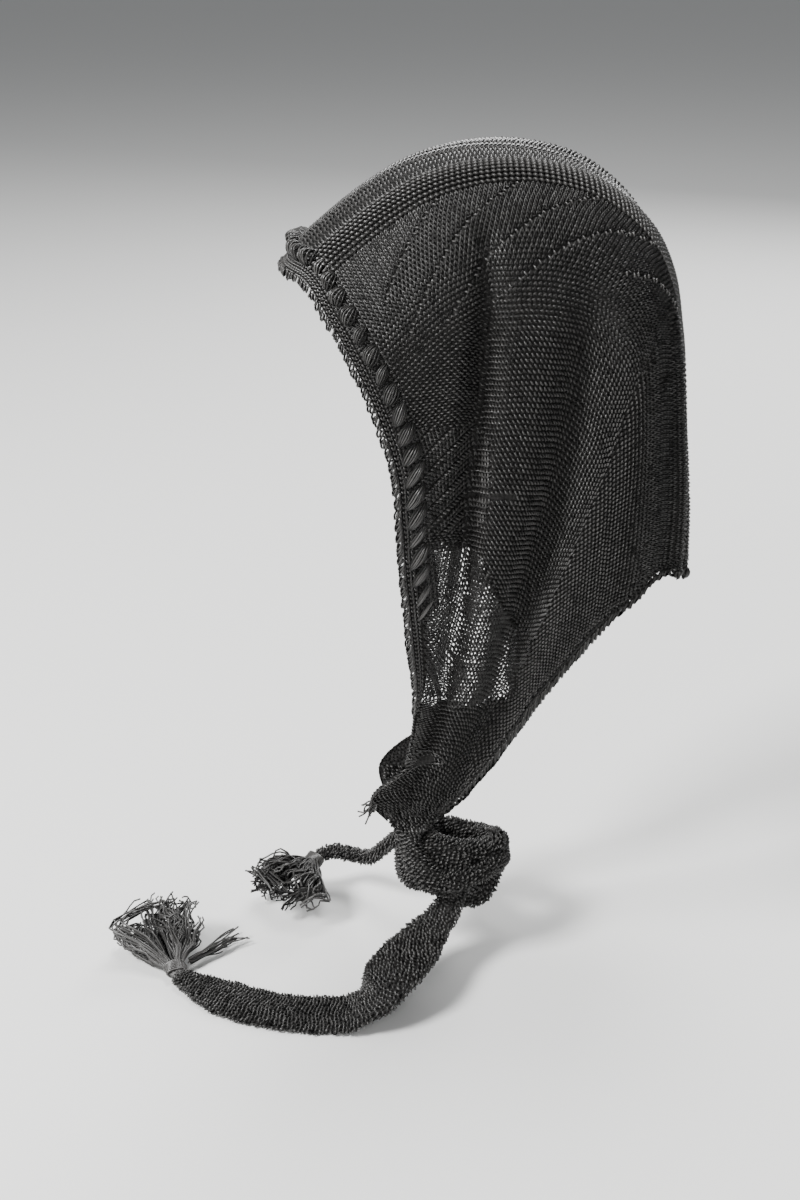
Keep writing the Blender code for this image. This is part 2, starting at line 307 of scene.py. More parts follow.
# Gauge of the knitting
STITCH = 2.45
SAMPLES = 4
PANEL_ROWS = 142
PANEL_SPLIT = 0.40
ROW_PITCH = 2.4
STRIP_EDGE = 37.0
RIDGE_EDGE = 60.0
STRIP_PITCH = 2.3
GARTER_ROWS = 7
GARTER_STITCH = 2.9
YARN_RADIUS = 0.56
GORE_LEAN = 1.3
GORES = (
    # foot along the garter rows as a share, how far down the line leans in millimetres
    (0.20, 34),
    (0.31, 52),
    (0.42, 60),
    (0.52, 66),
    (0.62, 36),
)
STRIP_BANDS = (
    # from, to (mm from the midline), lean, waves
    (-37, -13, -1.5, 3),
    (-13, -4.5, 3.0, 1),
    (-4.5, 4.5, -3.0, 1),
    (4.5, 13, 3.0, 1),
    (13, 37, -1.5, 3),
)

# Crowded courses: their pitch, the shares over which they crowd, and how their stitches change
CROWDED_PITCH = 1.4
CROWDS_OVER = 0.5
CROWDS_BEHIND = 0.3
RAGGED = 0.15
EVENED_OVER = 15
CROWD_SPREAD = 0.9
CROWD_RISE = 0.3
# Painted light that crowded courses gain where their stitches stand out
CROWD_GLOW = 0.15

# The open net low in front: its heights, its middle line and half width, and how its border fades
NET_TOP = -188.0
NET_BOTTOM_LEFT = -308.0
NET_BOTTOM_RIGHT = -350.0
NET_GROWS_OVER = 60.0
NET_FORE = -27.0
NET_DRIFT = 0.27
NET_HALF_WIDTH = 14.0
NET_WIDENS = 0.18
NET_ABOVE = 10.0
NET_TOP_FADE = 26.0
NET_BOTTOM_FADE = 24.0
NET_BORDER = 0.3
NET_BORDER_FADE = 0.6
NET_YARN = 0.49
NET_YARN_THINS = 0.14
# Painted light added to the net's yarn
NET_GLOW = 0.1
MESH_FROM = 0.12

# The panel's plain knit below the garter rows and the ribbed patch beside the braid (y, z)
KNIT_DEPTH = 80.0
KNIT_FADE = 50.0
RIBBED_MIDDLE = (-24.0, -155.0)
RIBBED_HALF = (24.0, 32.0)
RIBBED_EVERY = 4
RIB_SHARE = 1.5

# Unevenness and painted light of single stitches, gore lines, and the sleeves of the knot and ties
STITCH_JITTER = (0.05, 0.09)
STITCH_GLOW = (0.85, 0.22)
GORE_DIP = 0.25
GORE_RISE = 0.35
GORE_GLOW = 0.3
GARTER_SPREAD = 0.75
STRIP_SWAY = 0.45
HUMP_POWER = 0.7
# Painted shade down the back of the strip: where it starts, over what share it deepens and how much it
# darkens
STRIP_SHADE_FROM = 0.6
STRIP_SHADE_OVER = 0.1
STRIP_SHADE_BY = 0.6
UNDER_PICOT = 1.0
UNDER_HEM = 3.0
LAPPET_ROWS = (0.9, 2.6, 4.3)
LAPPET_GROUND = (0.5, 6.0)
LOOP_CREST = 0.6
SLEEVE_JITTER = (0.14, 0.16)
SLEEVE_SHIFT = 0.16
SLEEVE_WAVE = 0.004
SLEEVE_LUMP = 0.6

# Dye and fibres: how many blotches and fibres there are to a metre
DYE_SCALE = 60
FIBRE_SCALE = 1600

# Camera and light
LIGHTS = (
    # name, place in metres, side in metres, power in watts
    ("key", (0.9, -1.6, 1.5), 0.7, 140),
    ("fill", (2.2, -0.5, 0.7), 0.9, 26),
    ("top", (-0.6, 0.1, 2.0), 1.0, 50),
    ("front", (-0.3, -2.6, 0.1), 1.2, 14),
    ("far side", (-1.9, 0.9, 0.9), 1.0, 38),
)
CAMERA_PLACE = (0.876, -0.0466, 0.117)
CAMERA_PITCH = 22.8
CAMERA_LENS = 50.0
BONNET_MIDDLE = (0.0, 0.0, -0.22)

log = logging.getLogger("bonnet")


def unit(vectors: Array) -> Array:
    """Return vectors over their own lengths."""
    return vectors / np.maximum(np.linalg.norm(vectors, axis=-1, keepdims=True), 1e-9)


def travelled(points: Array) -> Array:
    """Return the length along a line at each of its points: the running sum of its steps."""
    return np.concatenate([[0.0], np.cumsum(np.linalg.norm(np.diff(points, axis=0), axis=1))])


def curve(rows: tuple, share: Array) -> Array:
    """Return points on a cubic through a table's rows, its slope at each the mean of its neighbours'.

    Args:
        rows: the table.
        share: shares of the table's length.

    Returns:
        The points, with the table's columns as their last axis.
    """
    table = np.asarray(rows, float)
    along = travelled(table)
    slope = np.gradient(table, along, axis=0)
    place = np.clip(share, 0.0, 1.0) * along[-1]
    i = np.clip(np.searchsorted(along, place, side="right") - 1, 0, len(along) - 2)
    step = along[i + 1] - along[i]
    u = ((place - along[i]) / step)[..., None]
    step = step[..., None]
    start = (2 * u**3 - 3 * u**2 + 1) * table[i] + (u**3 - 2 * u**2 + u) * step * slope[i]
    end = (3 * u**2 - 2 * u**3) * table[i + 1] + (u**3 - u**2) * step * slope[i + 1]
    return start + end


def length(rows: tuple) -> float:
    """Return the chord length of a table's first two columns."""
    table = np.asarray(rows, float)[:, :2]
    return float(np.linalg.norm(np.diff(table, axis=0), axis=1).sum())


def column(rows: tuple, z: Array, index: int) -> Array:
    """Return a table's column at heights z; the table's first column falls."""
    table = np.asarray(rows, float)[::-1]
    return np.interp(z, table[:, 0], table[:, index])


def smooth(x: Array) -> Array:
    """Return the smooth step 3x^2 - 2x^3 of x between 0 and 1."""
    x = np.clip(x, 0.0, 1.0)
    return x * x * (3 - 2 * x)


def side_map(p: Array, f: Array) -> Array:
    """Return y and z of the side panel, blended between its two edges from the midline down.

    Args:
        p: share from the face edge to the hem.
        f: share from the midline to the lappet end.

    Returns:
        Places (y, z), in millimetres.
    """
    top, face, hem = curve(MIDLINE, p), curve(FACE_EDGE, f), curve(HEM_EDGE, f)
    p, f = p[..., None], f[..., None]
    rim = (1 - p) * np.array(MIDLINE[0], float) + p * np.array(MIDLINE[-1], float)
    return (1 - f) * (top - rim) + (1 - p) * face + p * hem


def row_total(p: Array) -> tuple[Array, Array, Array]:
    """Return a wale's whole length, the radius of the crown's roll along it and its reach.

    The length is the reach below the midline and a quarter turn of the roll, less its radius.

    Args:
        p: share from the face edge to the hem.

    Returns:
        The three, in millimetres.
    """
    reach = (1 - p) * length(FACE_EDGE) + p * length(HEM_EDGE)
    roll = ROLL_BEHIND + (ROLL_AT_FACE - ROLL_BEHIND) * smooth(1 - p / ROLL_CHANGE)
    arc = (roll + HALF_WIDTH[0][1]) / 2
    return reach + arc * math.pi / 2 - roll, roll, reach


def surface(p: Array, q: Array, side: int) -> Array:
    """Return outer points of the hood, in millimetres.

    The cloth runs over a quarter turn of the crown's roll and hangs below it. A crease is added to
    its width, and a fold at the back and two hanging folds are taken from it, each as a bell.

    Args:
        p: share from the face edge (0) to the hem (1).
        q: share from the midline (0) to the lappet end (1).
        side: 1 for the wearer's left, -1 for the right.

    Returns:
        Points (x, y, z), with those three as the last axis.
    """
    total, roll, reach = row_total(p)
    arc = (roll + HALF_WIDTH[0][1]) / 2
    below = (q - TOP_BAND_SHARE) / (1 - TOP_BAND_SHARE)
    along = np.where(below < 0, TOP_BAND * q / TOP_BAND_SHARE, TOP_BAND + below * (total - TOP_BAND))
    angle = np.minimum(along / arc, math.pi / 2)
    crease_at = (along - arc * math.pi / 4) / CREASE_WIDTH
    crease = CREASE_HEIGHT * smooth((p - CREASE_START) / CREASE_GROWS_OVER) * np.exp(-(crease_at**2))
    down = roll * (1 - np.cos(angle)) + np.maximum(along - arc * math.pi / 2, 0)
    tuck = BACK_FOLD * smooth((p - BACK_FOLD_START) / BACK_FOLD_GROWS_OVER)
    tuck = tuck * np.exp(-(((down - BACK_FOLD_AT) / BACK_FOLD_WIDTH) ** 2))
    down = down + tuck * np.cos(angle)
    plane = side_map(p, np.clip((down - crease) / reach, 0, 1))
    y, z = plane[..., 0], plane[..., 1]
    if side < 0:
        fallen = np.clip((z - RIGHT_LAPPET_FROM) / (FACE_EDGE[-1][1] - RIGHT_LAPPET_FROM), 0, 1)
        y = y + RIGHT_LAPPET_BACK * np.sin(math.pi * fallen) ** 2
    x = (column(HALF_WIDTH, z, 1) - tuck) * np.sin(angle) + CREASE_OUT * crease
    share = 1.0 if side > 0 else RIGHT_FOLD_SHARE
    narrow = column(FOLDS, z, 2) * np.exp(-(((y - column(FOLDS, z, 1)) / NARROW_FOLD) ** 2))
    broad = column(FOLDS, z, 4) * np.exp(-(((y - column(FOLDS, z, 3)) / BROAD_FOLD) ** 2))
    x = x - share * (narrow + broad) * smooth((angle - FOLDS_BEGIN) / FOLDS_DEEPEN_OVER)
    return np.stack([side * x, y, z], axis=-1)


def place_of(distance: Array, p: Array) -> Array:
    """Return the share q of places in the cloth.

    Args:
        distance: distance from the midline, measured in the cloth.
        p: share from the face edge to the hem.

    Returns:
        The share q of each place.
    """
    total, _, _ = row_total(p)
    lower = TOP_BAND_SHARE + (distance - TOP_BAND) / (total - TOP_BAND) * (1 - TOP_BAND_SHARE)
    return np.where(distance < TOP_BAND, distance / TOP_BAND * TOP_BAND_SHARE, lower)


@dataclass(frozen=True)
class Cloth:
    """A smooth sheet held as a grid: points and outward normals over two shares.

    Attributes:
        points: grid of points in millimetres, (along first share, along second share, 3).
        normals: unit outward normals of the same shape.
    """

    points: Array
    normals: Array

    @classmethod
    def of(cls, points: Array, outward: int = 1) -> "Cloth":
        """Return the sheet through a grid of points, its normal being the cross of the two shares."""
        normal = outward * np.cross(np.gradient(points, axis=0), np.gradient(points, axis=1))
        return cls(points, unit(normal))

    def _read(self, grid: Array, a: Array, b: Array) -> Array:
        """Return the grid's values at two shares, between its four nearest entries.

        Args:
            grid: the points or the normals.
            a: the first share.
            b: the second share.

        Returns:
            The values, with the grid's columns as their last axis.
        """
        rows, columns = grid.shape[:2]
        x = np.clip(a, 0, 1) * (rows - 1)
        y = np.clip(b, 0, 1) * (columns - 1)
        i = np.minimum(x.astype(int), rows - 2)
        j = np.minimum(y.astype(int), columns - 2)
        s, t = (x - i)[..., None], (y - j)[..., None]
        low = (1 - t) * grid[i, j] + t * grid[i, j + 1]
        high = (1 - t) * grid[i + 1, j] + t * grid[i + 1, j + 1]
        return (1 - s) * low + s * high

    def coarse(self, rows: int, columns: int) -> "Cloth":
        """Return the same sheet on a grid of fewer rows and columns."""
        a, b = np.meshgrid(np.linspace(0, 1, rows), np.linspace(0, 1, columns), indexing="ij")
        return Cloth(*self.at(a, b))

    def at(self, a: Array, b: Array, lift: Array | float = 0.0) -> tuple[Array, Array]:
        """Return points lifted off the sheet and the normals there."""
        normal = self._read(self.normals, a, b)
        return self._read(self.points, a, b) + np.asarray(lift)[..., None] * normal, normal


@dataclass(frozen=True)
class Relief:
    """How stitches stand on the cloth and how much light is painted into their colour, by a height n off
    their middle.

    Attributes:
        rise: how far off the cloth a height of 1 lies, in millimetres.
        sunk: how far in the cloth a height of 0 lies.
        yarn: the yarn's radius at a height of 0.
        swell: what the radius gains by a height of 1.
        base: how much light is painted into the colour at a height of 0.
        gain: what it gains by a height of 1.
    """

    rise: float
    sunk: float
    yarn: float = YARN_RADIUS
    swell: float = 0.0
    base: float = 0.0
    gain: float = 1.0

    def lift(self, n: Array) -> Array:
        """Return the distance off the cloth."""
        return n * self.rise - self.sunk

    def radius(self, n: Array) -> Array:
        """Return the yarn's radius."""
        return self.yarn + self.swell * n

    def height(self, n: Array) -> Array:
        """Return how much light is painted into the colour."""
        return self.base + self.gain * n


# Each relief's base and gain set the light and shade painted into the yarn's colour.
STRIP_RELIEF = Relief(rise=1.9, sunk=2.0, yarn=0.5, swell=0.2, base=0.1, gain=0.9)
GARTER_RELIEF = Relief(rise=0.9, sunk=0.8, yarn=0.72, swell=0.33, base=0.5, gain=0.42)
PANEL_RELIEF = Relief(rise=1.05, sunk=1.0, swell=0.08, base=0.34, gain=0.72)
LAPPET_RELIEF = Relief(rise=0.8, sunk=0.9, yarn=0.6, base=0.32, gain=0.45)
CHAIN_RELIEF = Relief(rise=0.8, sunk=1.3, yarn=0.5, base=0.35, gain=0.5)
LOOP_RELIEF = Relief(rise=0.9, sunk=1.1, base=0.4, gain=0.35)
EDGING_RELIEF = Relief(rise=1.1, sunk=1.2, yarn=0.62, base=0.45, gain=0.55)
SLEEVE_RELIEF = Relief(rise=1.3, sunk=0.8, yarn=0.58, swell=0.2, base=0.4, gain=0.65)


@dataclass
class Yarn:
    """Yarn laid down as open lines, to be made into one mesh of thin tubes.

    Attributes:
        points: the centre line of each.
        normals: the cloth's normals beside it.
        radii: its radius at each point.
        heights: the light and shade painted into its colour there, from 0 to 1, lighter where it stands
            out.
    """

    points: list[Array] = field(default_factory=list)
    normals: list[Array] = field(default_factory=list)
    radii: list[Array] = field(default_factory=list)
    heights: list[Array] = field(default_factory=list)

    def lay(self, points: Array, normals: Array, radius: Array, height: Array = 1.0) -> None:
        """Add one line of yarn.

        Args:
            points: its centre line.
            normals: the cloth's normal beside it.
            radius: its radius.
            height: the painted light, 0 where it is sunk in the cloth and painted dark, 1 where it stands
                out and is painted light.
        """
        self.points.append(points)
        self.normals.append(normals)
        self.radii.append(np.broadcast_to(radius, len(points)))
        self.heights.append(np.broadcast_to(height, len(points)))

    def mesh(self, name: str, material: Material, sides: int = 3) -> Object:
        """Return an object with a tube along every line: a ring of corners at each of its points.

        Args:
            name: the object's name.
            material: its finish.
            sides: how many sides a tube has.

        Returns:
            The object, with the heights, the painted light and shade, as its attribute named raised.
        """
        sizes = np.array([len(p) for p in self.points])
        centre = np.concatenate(self.points)
        normal = np.concatenate(self.normals)
        radius = np.concatenate(self.radii)
        line = np.repeat(np.arange(len(sizes)), sizes)
        ahead = np.minimum(np.arange(len(line)) + 1, len(line) - 1)
        behind = np.maximum(np.arange(len(line)) - 1, 0)
        ahead = np.where(line[ahead] == line, ahead, np.arange(len(line)))
        behind = np.where(line[behind] == line, behind, np.arange(len(line)))
        forward = unit(centre[ahead] - centre[behind])
        across = unit(np.cross(forward, normal))
        up = np.cross(across, forward)
        turn = np.arange(sides) * 2 * math.pi / sides + math.pi / 2
        ring = up[:, None] * np.sin(turn)[:, None] + across[:, None] * np.cos(turn)[:, None]
        points = centre[:, None] + radius[:, None, None] * ring
        joined = np.flatnonzero(line[:-1] == line[1:])
        k = np.arange(sides)
        m = (k + 1) % sides
        here = joined[:, None] * sides
        faces = np.stack([here + k, here + m, here + sides + m, here + sides + k], axis=-1)
        item = make_mesh(name, points.reshape(-1, 3), faces.reshape(-1, 4), material)
        # Painted light and shade: the attribute raised lightens the yarn's colour where it stands out and
        # darkens it where it is sunk.
        raised = item.data.attributes.new("raised", "FLOAT", "POINT")
        height = np.clip(np.concatenate(self.heights), 0, 1)
        raised.data.foreach_set("value", np.repeat(height, sides).astype(np.float32))
        return item


def make_mesh(name: str, points: Array, faces: Array, material: Material) -> Object:
    """Return a smooth-shaded object.

    Args:
        name: its name.
        points: its corners in millimetres.
        faces: the numbers of the four corners of each face.
        material: its finish.

    Returns:
        The object, linked to the scene.
    """
    mesh = bpy.data.meshes.new(name)
    count = len(faces)
    mesh.vertices.add(len(points))
    mesh.vertices.foreach_set("co", (points * MM).astype(np.float32).ravel())
    mesh.loops.add(count * 4)
    mesh.loops.foreach_set("vertex_index", faces.astype(np.int32).ravel())
    mesh.polygons.add(count)
    mesh.polygons.foreach_set("loop_start", np.arange(0, count * 4, 4, dtype=np.int32))
    mesh.polygons.foreach_set("use_smooth", np.ones(count, dtype=bool))
    mesh.update(calc_edges=True)
    mesh.materials.append(material)
    item = bpy.data.objects.new(name, mesh)
    bpy.context.scene.collection.objects.link(item)
    log.info("%s: %d triangles", name, count * 2)
    return item


class Side(Enum):
    """The wearer's left or right half of the hood."""

    LEFT = 1
    RIGHT = -1


class Stitch(Enum):
    """How a stitch's yarn runs: along the course, across it (both in stitches) and off the cloth."""

    KNIT = ((0.0, 0.85, -0.95), (0.33, 0.05, 0.6), (0.5, -0.75, 0.15), (0.67, 0.05, 0.6))
    PURL = ((0.0, -0.35, -1.0), (0.25, -0.12, 0.5), (0.5, 0.18, 0.9), (0.75, 0.35, 0.3))
    MESH = ((0.0, 0.52, 0.2), (0.25, 0.0, -0.2), (0.5, -0.52, 0.2), (0.75, 0.0, -0.2))

    def samples(self, count: int) -> tuple[Array, Array, Array]:
        """Return the place along, across and off the cloth of every sample of count stitches.

        Args:
            count: how many stitches there are.

        Returns:
            The three, in stitches, with one value for each sample.
        """
        pattern = np.array(self.value)
        along = (np.arange(count)[:, None] + pattern[:, 0]).ravel()
        return along, np.tile(pattern[:, 1], count), np.tile(pattern[:, 2], count)


def hood_cloth(side: Side) -> Cloth:
    """Return one half of the hood as a sheet over (p, q)."""
    p, q = np.meshgrid(*(np.linspace(0, 1, count) for count in HOOD_GRID), indexing="ij")
    return Cloth.of(surface(p, q, side.value), -side.value)


def trim_share(edge: int, q: Array, side: Side) -> Array:
    """Return how much of its full width a trim keeps where the lappet narrows or the trim ends.

    Args:
        edge: 0 for the face edge, 1 for the hem.
        q: shares from the midline to the lappet end.
        side: the half of the hood.

    Returns:
        Shares from 0 to 1.
    """
    ends = surface(np.ones_like(q), q, side.value) - surface(np.zeros_like(q), q, side.value)
    share = np.minimum(np.linalg.norm(ends, axis=-1) / FULL_LAPPET, 1.0)
    if edge == 1:
        return share
    fade = smooth((q - TRIM_FADES_AT) / (TRIM_ENDS_AT - TRIM_FADES_AT))
    tail = np.clip((1 - q) / (1 - TRIM_ENDS_AT), 0, 1)
    return share * (1 - (1 - TRIM_END_SHARE * tail) * fade)


def inset(edge: int, q: Array, distance: Array, side: Side) -> Array:
    """Return the place p that lies a distance in from an edge.

    The step in p is the distance over the speed at which p crosses the edge, square to it.

    Args:
        edge: 0 for the face edge, 1 for the hem.
        q: shares from the midline to the lappet end.
        distance: the distance at each, in millimetres.
        side: the half of the hood.

    Returns:
        The place p at each share.
    """
    e = 1e-3
    p = np.full_like(q, float(edge))
    low, high = np.maximum(p - e, 0), np.minimum(p + e, 1)
    along_p = (surface(high, q, side.value) - surface(low, q, side.value)) / (high - low)[..., None]
    along_q = surface(p, np.minimum(q + e, 1), side.value) - surface(p, np.maximum(q - e, 0), side.value)
    along_q[q < e] = np.array([1.0, 0.0, 0.0])
    speed = np.linalg.norm(np.cross(along_p, along_q), axis=-1) / np.linalg.norm(along_q, axis=-1)
    step = distance * trim_share(edge, q, side) / speed
    return p + step if edge == 0 else p - step


@dataclass(frozen=True)
class EdgeStrip:
    """The cloth beside one free edge, over (place along the edge, distance in from it).

    Attributes:
        cloth: the sheet; its first share runs from the right lappet to the left.
        width: the sheet's full width in millimetres.
        total: the edge's length in millimetres.
        along: the place along the edge of each of the sheet's stations, in millimetres.
        down: how far down each station lies, from the midline (0) to the lappet end (1).
        share: how much of its width the trim keeps at each station.
    """

    cloth: Cloth
    width: float
    total: float
    along: Array
    down: Array
    share: Array

    @classmethod
    def beside(cls, edge: int, width: float) -> "EdgeStrip":
        """Return the strip beside one free edge, its two halves joined at the midline.

        Args:
            edge: 0 for the face edge, 1 for the hem.
            width: how far in from the edge it reaches, in millimetres.

        Returns:
            The strip.
        """
        q = np.linspace(0, 1, EDGE_GRID[0])
        offset = np.linspace(0, width, EDGE_GRID[1])
        halves = []
        shares = []
        for side in (Side.RIGHT, Side.LEFT):
            p = np.stack([inset(edge, q, np.full_like(q, d), side) for d in offset], axis=1)
            points = surface(p, np.broadcast_to(q[:, None], p.shape), side.value)
            order = slice(None, 0, -1) if side is Side.RIGHT else slice(None)
            halves.append(points[order])
            shares.append(trim_share(edge, q, side)[order])
        grid = np.concatenate(halves)
        along = travelled(grid[:, 0])
        down = np.concatenate([q[:0:-1], q])
        cloth = Cloth.of(grid, 1 if edge == 0 else -1)
        return cls(cloth, width, float(along[-1]), along, down, np.concatenate(shares))

    @property
    def first(self) -> float:
        """Return where the trim starts along the edge: the first place where it is wide enough."""
        return float(self.along[np.argmax(self.share > TRIM_STOPS_AT)])

    @property
    def reach(self) -> float:
        """Return the trim's length along the edge."""
        last = len(self.share) - 1 - np.argmax(self.share[::-1] > TRIM_STOPS_AT)
        return float(self.along[last]) - self.first

    def at(self, along: Array, offset: Array, lift: Array | float = 0.0) -> tuple[Array, Array]:
        """Return points of the strip and the normals there.

        Where the trim narrows, so does the distance in from the edge. A distance below 0 lies past it.

        Args:
            along: millimetres along the edge.
            offset: millimetres in from it.
            lift: millimetres off the cloth.

        Returns:
            The points in millimetres and the unit normals.
        """
        station = np.interp(along, self.along, np.linspace(0, 1, len(self.along)))
        points, normals = self.cloth.at(station, offset / self.width, lift)
        edge = np.zeros_like(station)
        outer, _ = self.cloth.at(station, edge)
        inner, _ = self.cloth.at(station, edge + PAST_EDGE_STEP / self.width)
        return points + np.minimum(offset, 0.0)[..., None] * unit(inner - outer), normals

    def share_at(self, along: Array) -> Array:
        """Return how much of its width the trim keeps at millimetres along the edge."""
        return np.interp(along, self.along, self.share)

    def down_at(self, along: Array) -> Array:
        """Return how far down the edge lies at millimetres along it."""
        return np.interp(along, self.along, self.down)

    def span(self, end: float) -> tuple[float, float]:
        """Return the stretch of the edge, in millimetres along it, that lies above a share down."""
        held = self.along[self.down <= end]
        return max(float(held[0]), self.first), min(float(held[-1]), self.first + self.reach)


@dataclass
class Hood:
    """The knitted hood: crown strip, garter rows and two side panels over a dark inner layer.

    Attributes:
        yarn: the yarn's material.
        ground: the inner layer's material.
        rng: the source of the small differences between stitches.
        made: the hood's objects, the first of them the one that stands for its solid.
    """

    yarn: Material
    ground: Material
    rng: Rng
    made: list[Object] = field(default_factory=list)

    def build(self) -> None:
        """Knit every part of the hood."""
        crown = Yarn()
        self._strip(crown)
        top = place_at(RIDGE_EDGE)
        split = top + (1 - top) * PANEL_SPLIT
        for side in Side:
            cloth = hood_cloth(side)
            self._ridges(crown, cloth, side)
            name = side.name.lower()
            self._panel(cloth, side, top, split, f"hood_{name}_upper")
            self._panel(cloth, side, split, 1.0, f"hood_{name}_lower")
            self._inner_layer(side, f"hood_{name}_inner")
        self.made.append(crown.mesh("hood_crown", self.yarn))

    def _strip(self, yarn: Yarn) -> None:
        """Lay the strip along the midline: narrow herringbone bands between two broad ribbed ones.

        Each line crosses its band once. It stands up in a hump for each wave and sways as a sine.

        Args:
            yarn: the lines that it is added to.
        """
        p = np.linspace(0.0, 1.0, CROWN_GRID[0])
        s = np.linspace(-STRIP_EDGE, STRIP_EDGE, CROWN_GRID[1])
        grid = np.empty((len(p), len(s), 3))
        for j, distance in enumerate(s):
            side = -1 if distance < 0 else 1
            grid[:, j] = surface(p, place_of(np.full_like(p, abs(distance)), p), side)
        cloth = Cloth.of(grid, -1)
        along = travelled(grid[:, len(s) // 2])
        for low, high, lean, waves in STRIP_BANDS:
            t = np.linspace(0, 1, 3 * waves + 3)
            hump = np.abs(np.sin(math.pi * waves * t)) ** HUMP_POWER
            sway = STRIP_SWAY * np.sin(2 * math.pi * waves * t)
            b = (low + (high - low) * t + STRIP_EDGE) / (2 * STRIP_EDGE)
            for start in np.arange(PICOT_WIDTH + BRAID_WIDTH, along[-1] - HEM_WIDTH, STRIP_PITCH):
                place = start + lean * (t - 0.5) + sway + self.rng.normal(0, 0.1)
                a = np.interp(place, along, p)
                lift = STRIP_RELIEF.lift(hump) + self.rng.normal(0, 0.08)
                points, normals = cloth.at(a, b, lift)
                # Painted shade: the strip's colour darkens towards the back, where it turns from the light.
                back_shade = 1 - STRIP_SHADE_BY * smooth((a - STRIP_SHADE_FROM) / STRIP_SHADE_OVER)
                height = STRIP_RELIEF.height(hump) * self.rng.uniform(0.6, 1.15) * back_shade
                yarn.lay(points, normals, STRIP_RELIEF.radius(hump), height)

    def _course(self, cloth: Cloth, side: Side, q: float) -> tuple[Array, Array]:
        """Return a course's table of lengths along it and the places p that they belong to.

        Args:
            cloth: the half of the hood.
            side: which half it is.
            q: the course's share from the midline.

        Returns:
            The lengths in millimetres and the places, one for each station.
        """
        here = np.array([q])
        start = inset(0, here, np.array([PICOT_WIDTH + UNDER_PICOT]), side)[0]
        end = inset(1, here, np.array([HEM_WIDTH - UNDER_HEM]), side)[0]
        p = np.linspace(start, end, COURSE_STATIONS)
        points, _ = cloth.at(p, np.full_like(p, q))
        return travelled(points), p

    def _ridges(self, yarn: Yarn, cloth: Cloth, side: Side) -> None:
        """Knit the garter rows between the strip and the panel: rows of long bumps.

        Args:
            yarn: the lines that they are added to.
            cloth: the half of the hood.
            side: which half it is.
        """
        low, high = place_at(STRIP_EDGE), place_at(RIDGE_EDGE)
        step = (high - low) / GARTER_ROWS
        for row in range(GARTER_ROWS):
            q = low + (row + 0.5) * step
            along, p = self._course(cloth, side, q)
            u, v, n = Stitch.PURL.samples(int(along[-1] / GARTER_STITCH))
            place = (u + 0.5 * (row % 2)) * GARTER_STITCH + self.rng.normal(0, 0.06, len(u))
            b = q + (v * GARTER_SPREAD + self.rng.normal(0, 0.03, len(u))) * step
            points, normals = cloth.at(np.interp(place, along, p), b, GARTER_RELIEF.lift(n))
            yarn.lay(points, normals, GARTER_RELIEF.radius(np.clip(n, 0, 1)), GARTER_RELIEF.height(n))

    def _panel(self, cloth: Cloth, side: Side, low: float, high: float, name: str) -> None:
        """Knit courses of a side panel, in gores that end in raised lines.

        A stitch is the sum of the three patterns, each times its share. In a net the yarn's radius
        follows the hole, the diagonal of a stitch over the root of its squared sides.

        Args:
            cloth: the half of the hood.
            side: which half it is.
            low: the share q of the first course.
            high: the share q where they end.
            name: the piece's name.
        """
        yarn = Yarn()
        top = place_at(RIDGE_EDGE)
        step = (1 - top) / PANEL_ROWS
        first = int(round((low - top) / step))
        last = int(round((high - top) / step))
        patterns = [np.array(kind.value) for kind in (Stitch.KNIT, Stitch.PURL, Stitch.MESH)]
        for row in range(first, last):
            q = top + (row + 0.5) * step
            depth = (row + 0.5) * ROW_PITCH
            along, p = self._course(cloth, side, q)
            crowd, lean, pitch = self._gauge(cloth, p, q, step)
            hole = STITCH * pitch / np.hypot(STITCH, pitch)
            start, mark = self._starts(along[-1], depth)
            if row % 2:
                run = self._run(start, np.interp(start, along, crowd))
                start, mark = start[run], mark[run]
            ridge, valley = mark == 1, mark == -1
            middle, _ = cloth.at(np.interp(start, along, p), np.full_like(start, q))
            shares = self._fabric(middle, depth, row)
            shares[1] = np.where(ridge, 1.0, shares[1])
            shares[0] = np.where(ridge, 0.0, shares[0])
            # Each stitch's painted light is scaled at random, with painted light added on the gore lines.
            bright = self.rng.normal(*STITCH_GLOW, len(start)) + GORE_GLOW * ridge
            bright = np.repeat(np.clip(bright, 0.2, 1.3), SAMPLES)
            mix = sum(share[:, None, None] * pattern for share, pattern in zip(shares, patterns))
            total = np.maximum(shares.sum(axis=0), 1e-6)[:, None]
            tight = np.interp(start, along, crowd)
            stagger = 0.5 * ((row % 2) * (1 - tight) + (row // 2 % 2) * tight)
            u = mix[..., 0] / total + (stagger * (1 - np.clip(shares[0], 0, 1)))[:, None]
            place = np.clip((start[:, None] + u * STITCH).ravel(), 0, along[-1])
            v = (mix[..., 1] / np.maximum(total, 1)).ravel()
            n = (mix[..., 2] - GORE_DIP * valley[:, None] + GORE_RISE * ridge[:, None]).ravel()
            jitter = self.rng.normal(0, STITCH_JITTER, (len(place), 2)).T
            tight = np.interp(place, along, crowd)
            b = np.clip(q + (v * (1 + CROWD_SPREAD * tight) + jitter[0]) * step, 0, 1)
            thin = np.repeat(open_share(middle), SAMPLES)
            net = np.repeat(shares[2], SAMPLES)
            wide = np.interp(place, along, hole) * (NET_YARN - NET_YARN_THINS * thin)
            radius = (1 - net) * PANEL_RELIEF.radius(n) + net * wide
            lift = n * (PANEL_RELIEF.rise + CROWD_RISE * tight) - PANEL_RELIEF.sunk + jitter[1]
            # Painted light and shade: lighter where a stitch stands out, more so in crowded courses, and
            # lighter in the net.
            height = PANEL_RELIEF.base + (PANEL_RELIEF.gain + CROWD_GLOW * tight) * n + NET_GLOW * net
            a = np.interp(place, along, p) - (b - q) * np.interp(place, along, lean)
            points, normals = cloth.at(np.clip(a, p[0], p[-1]), b, lift)
            yarn.lay(points, normals, radius, height * bright)
        self.made.append(yarn.mesh(name, self.yarn))

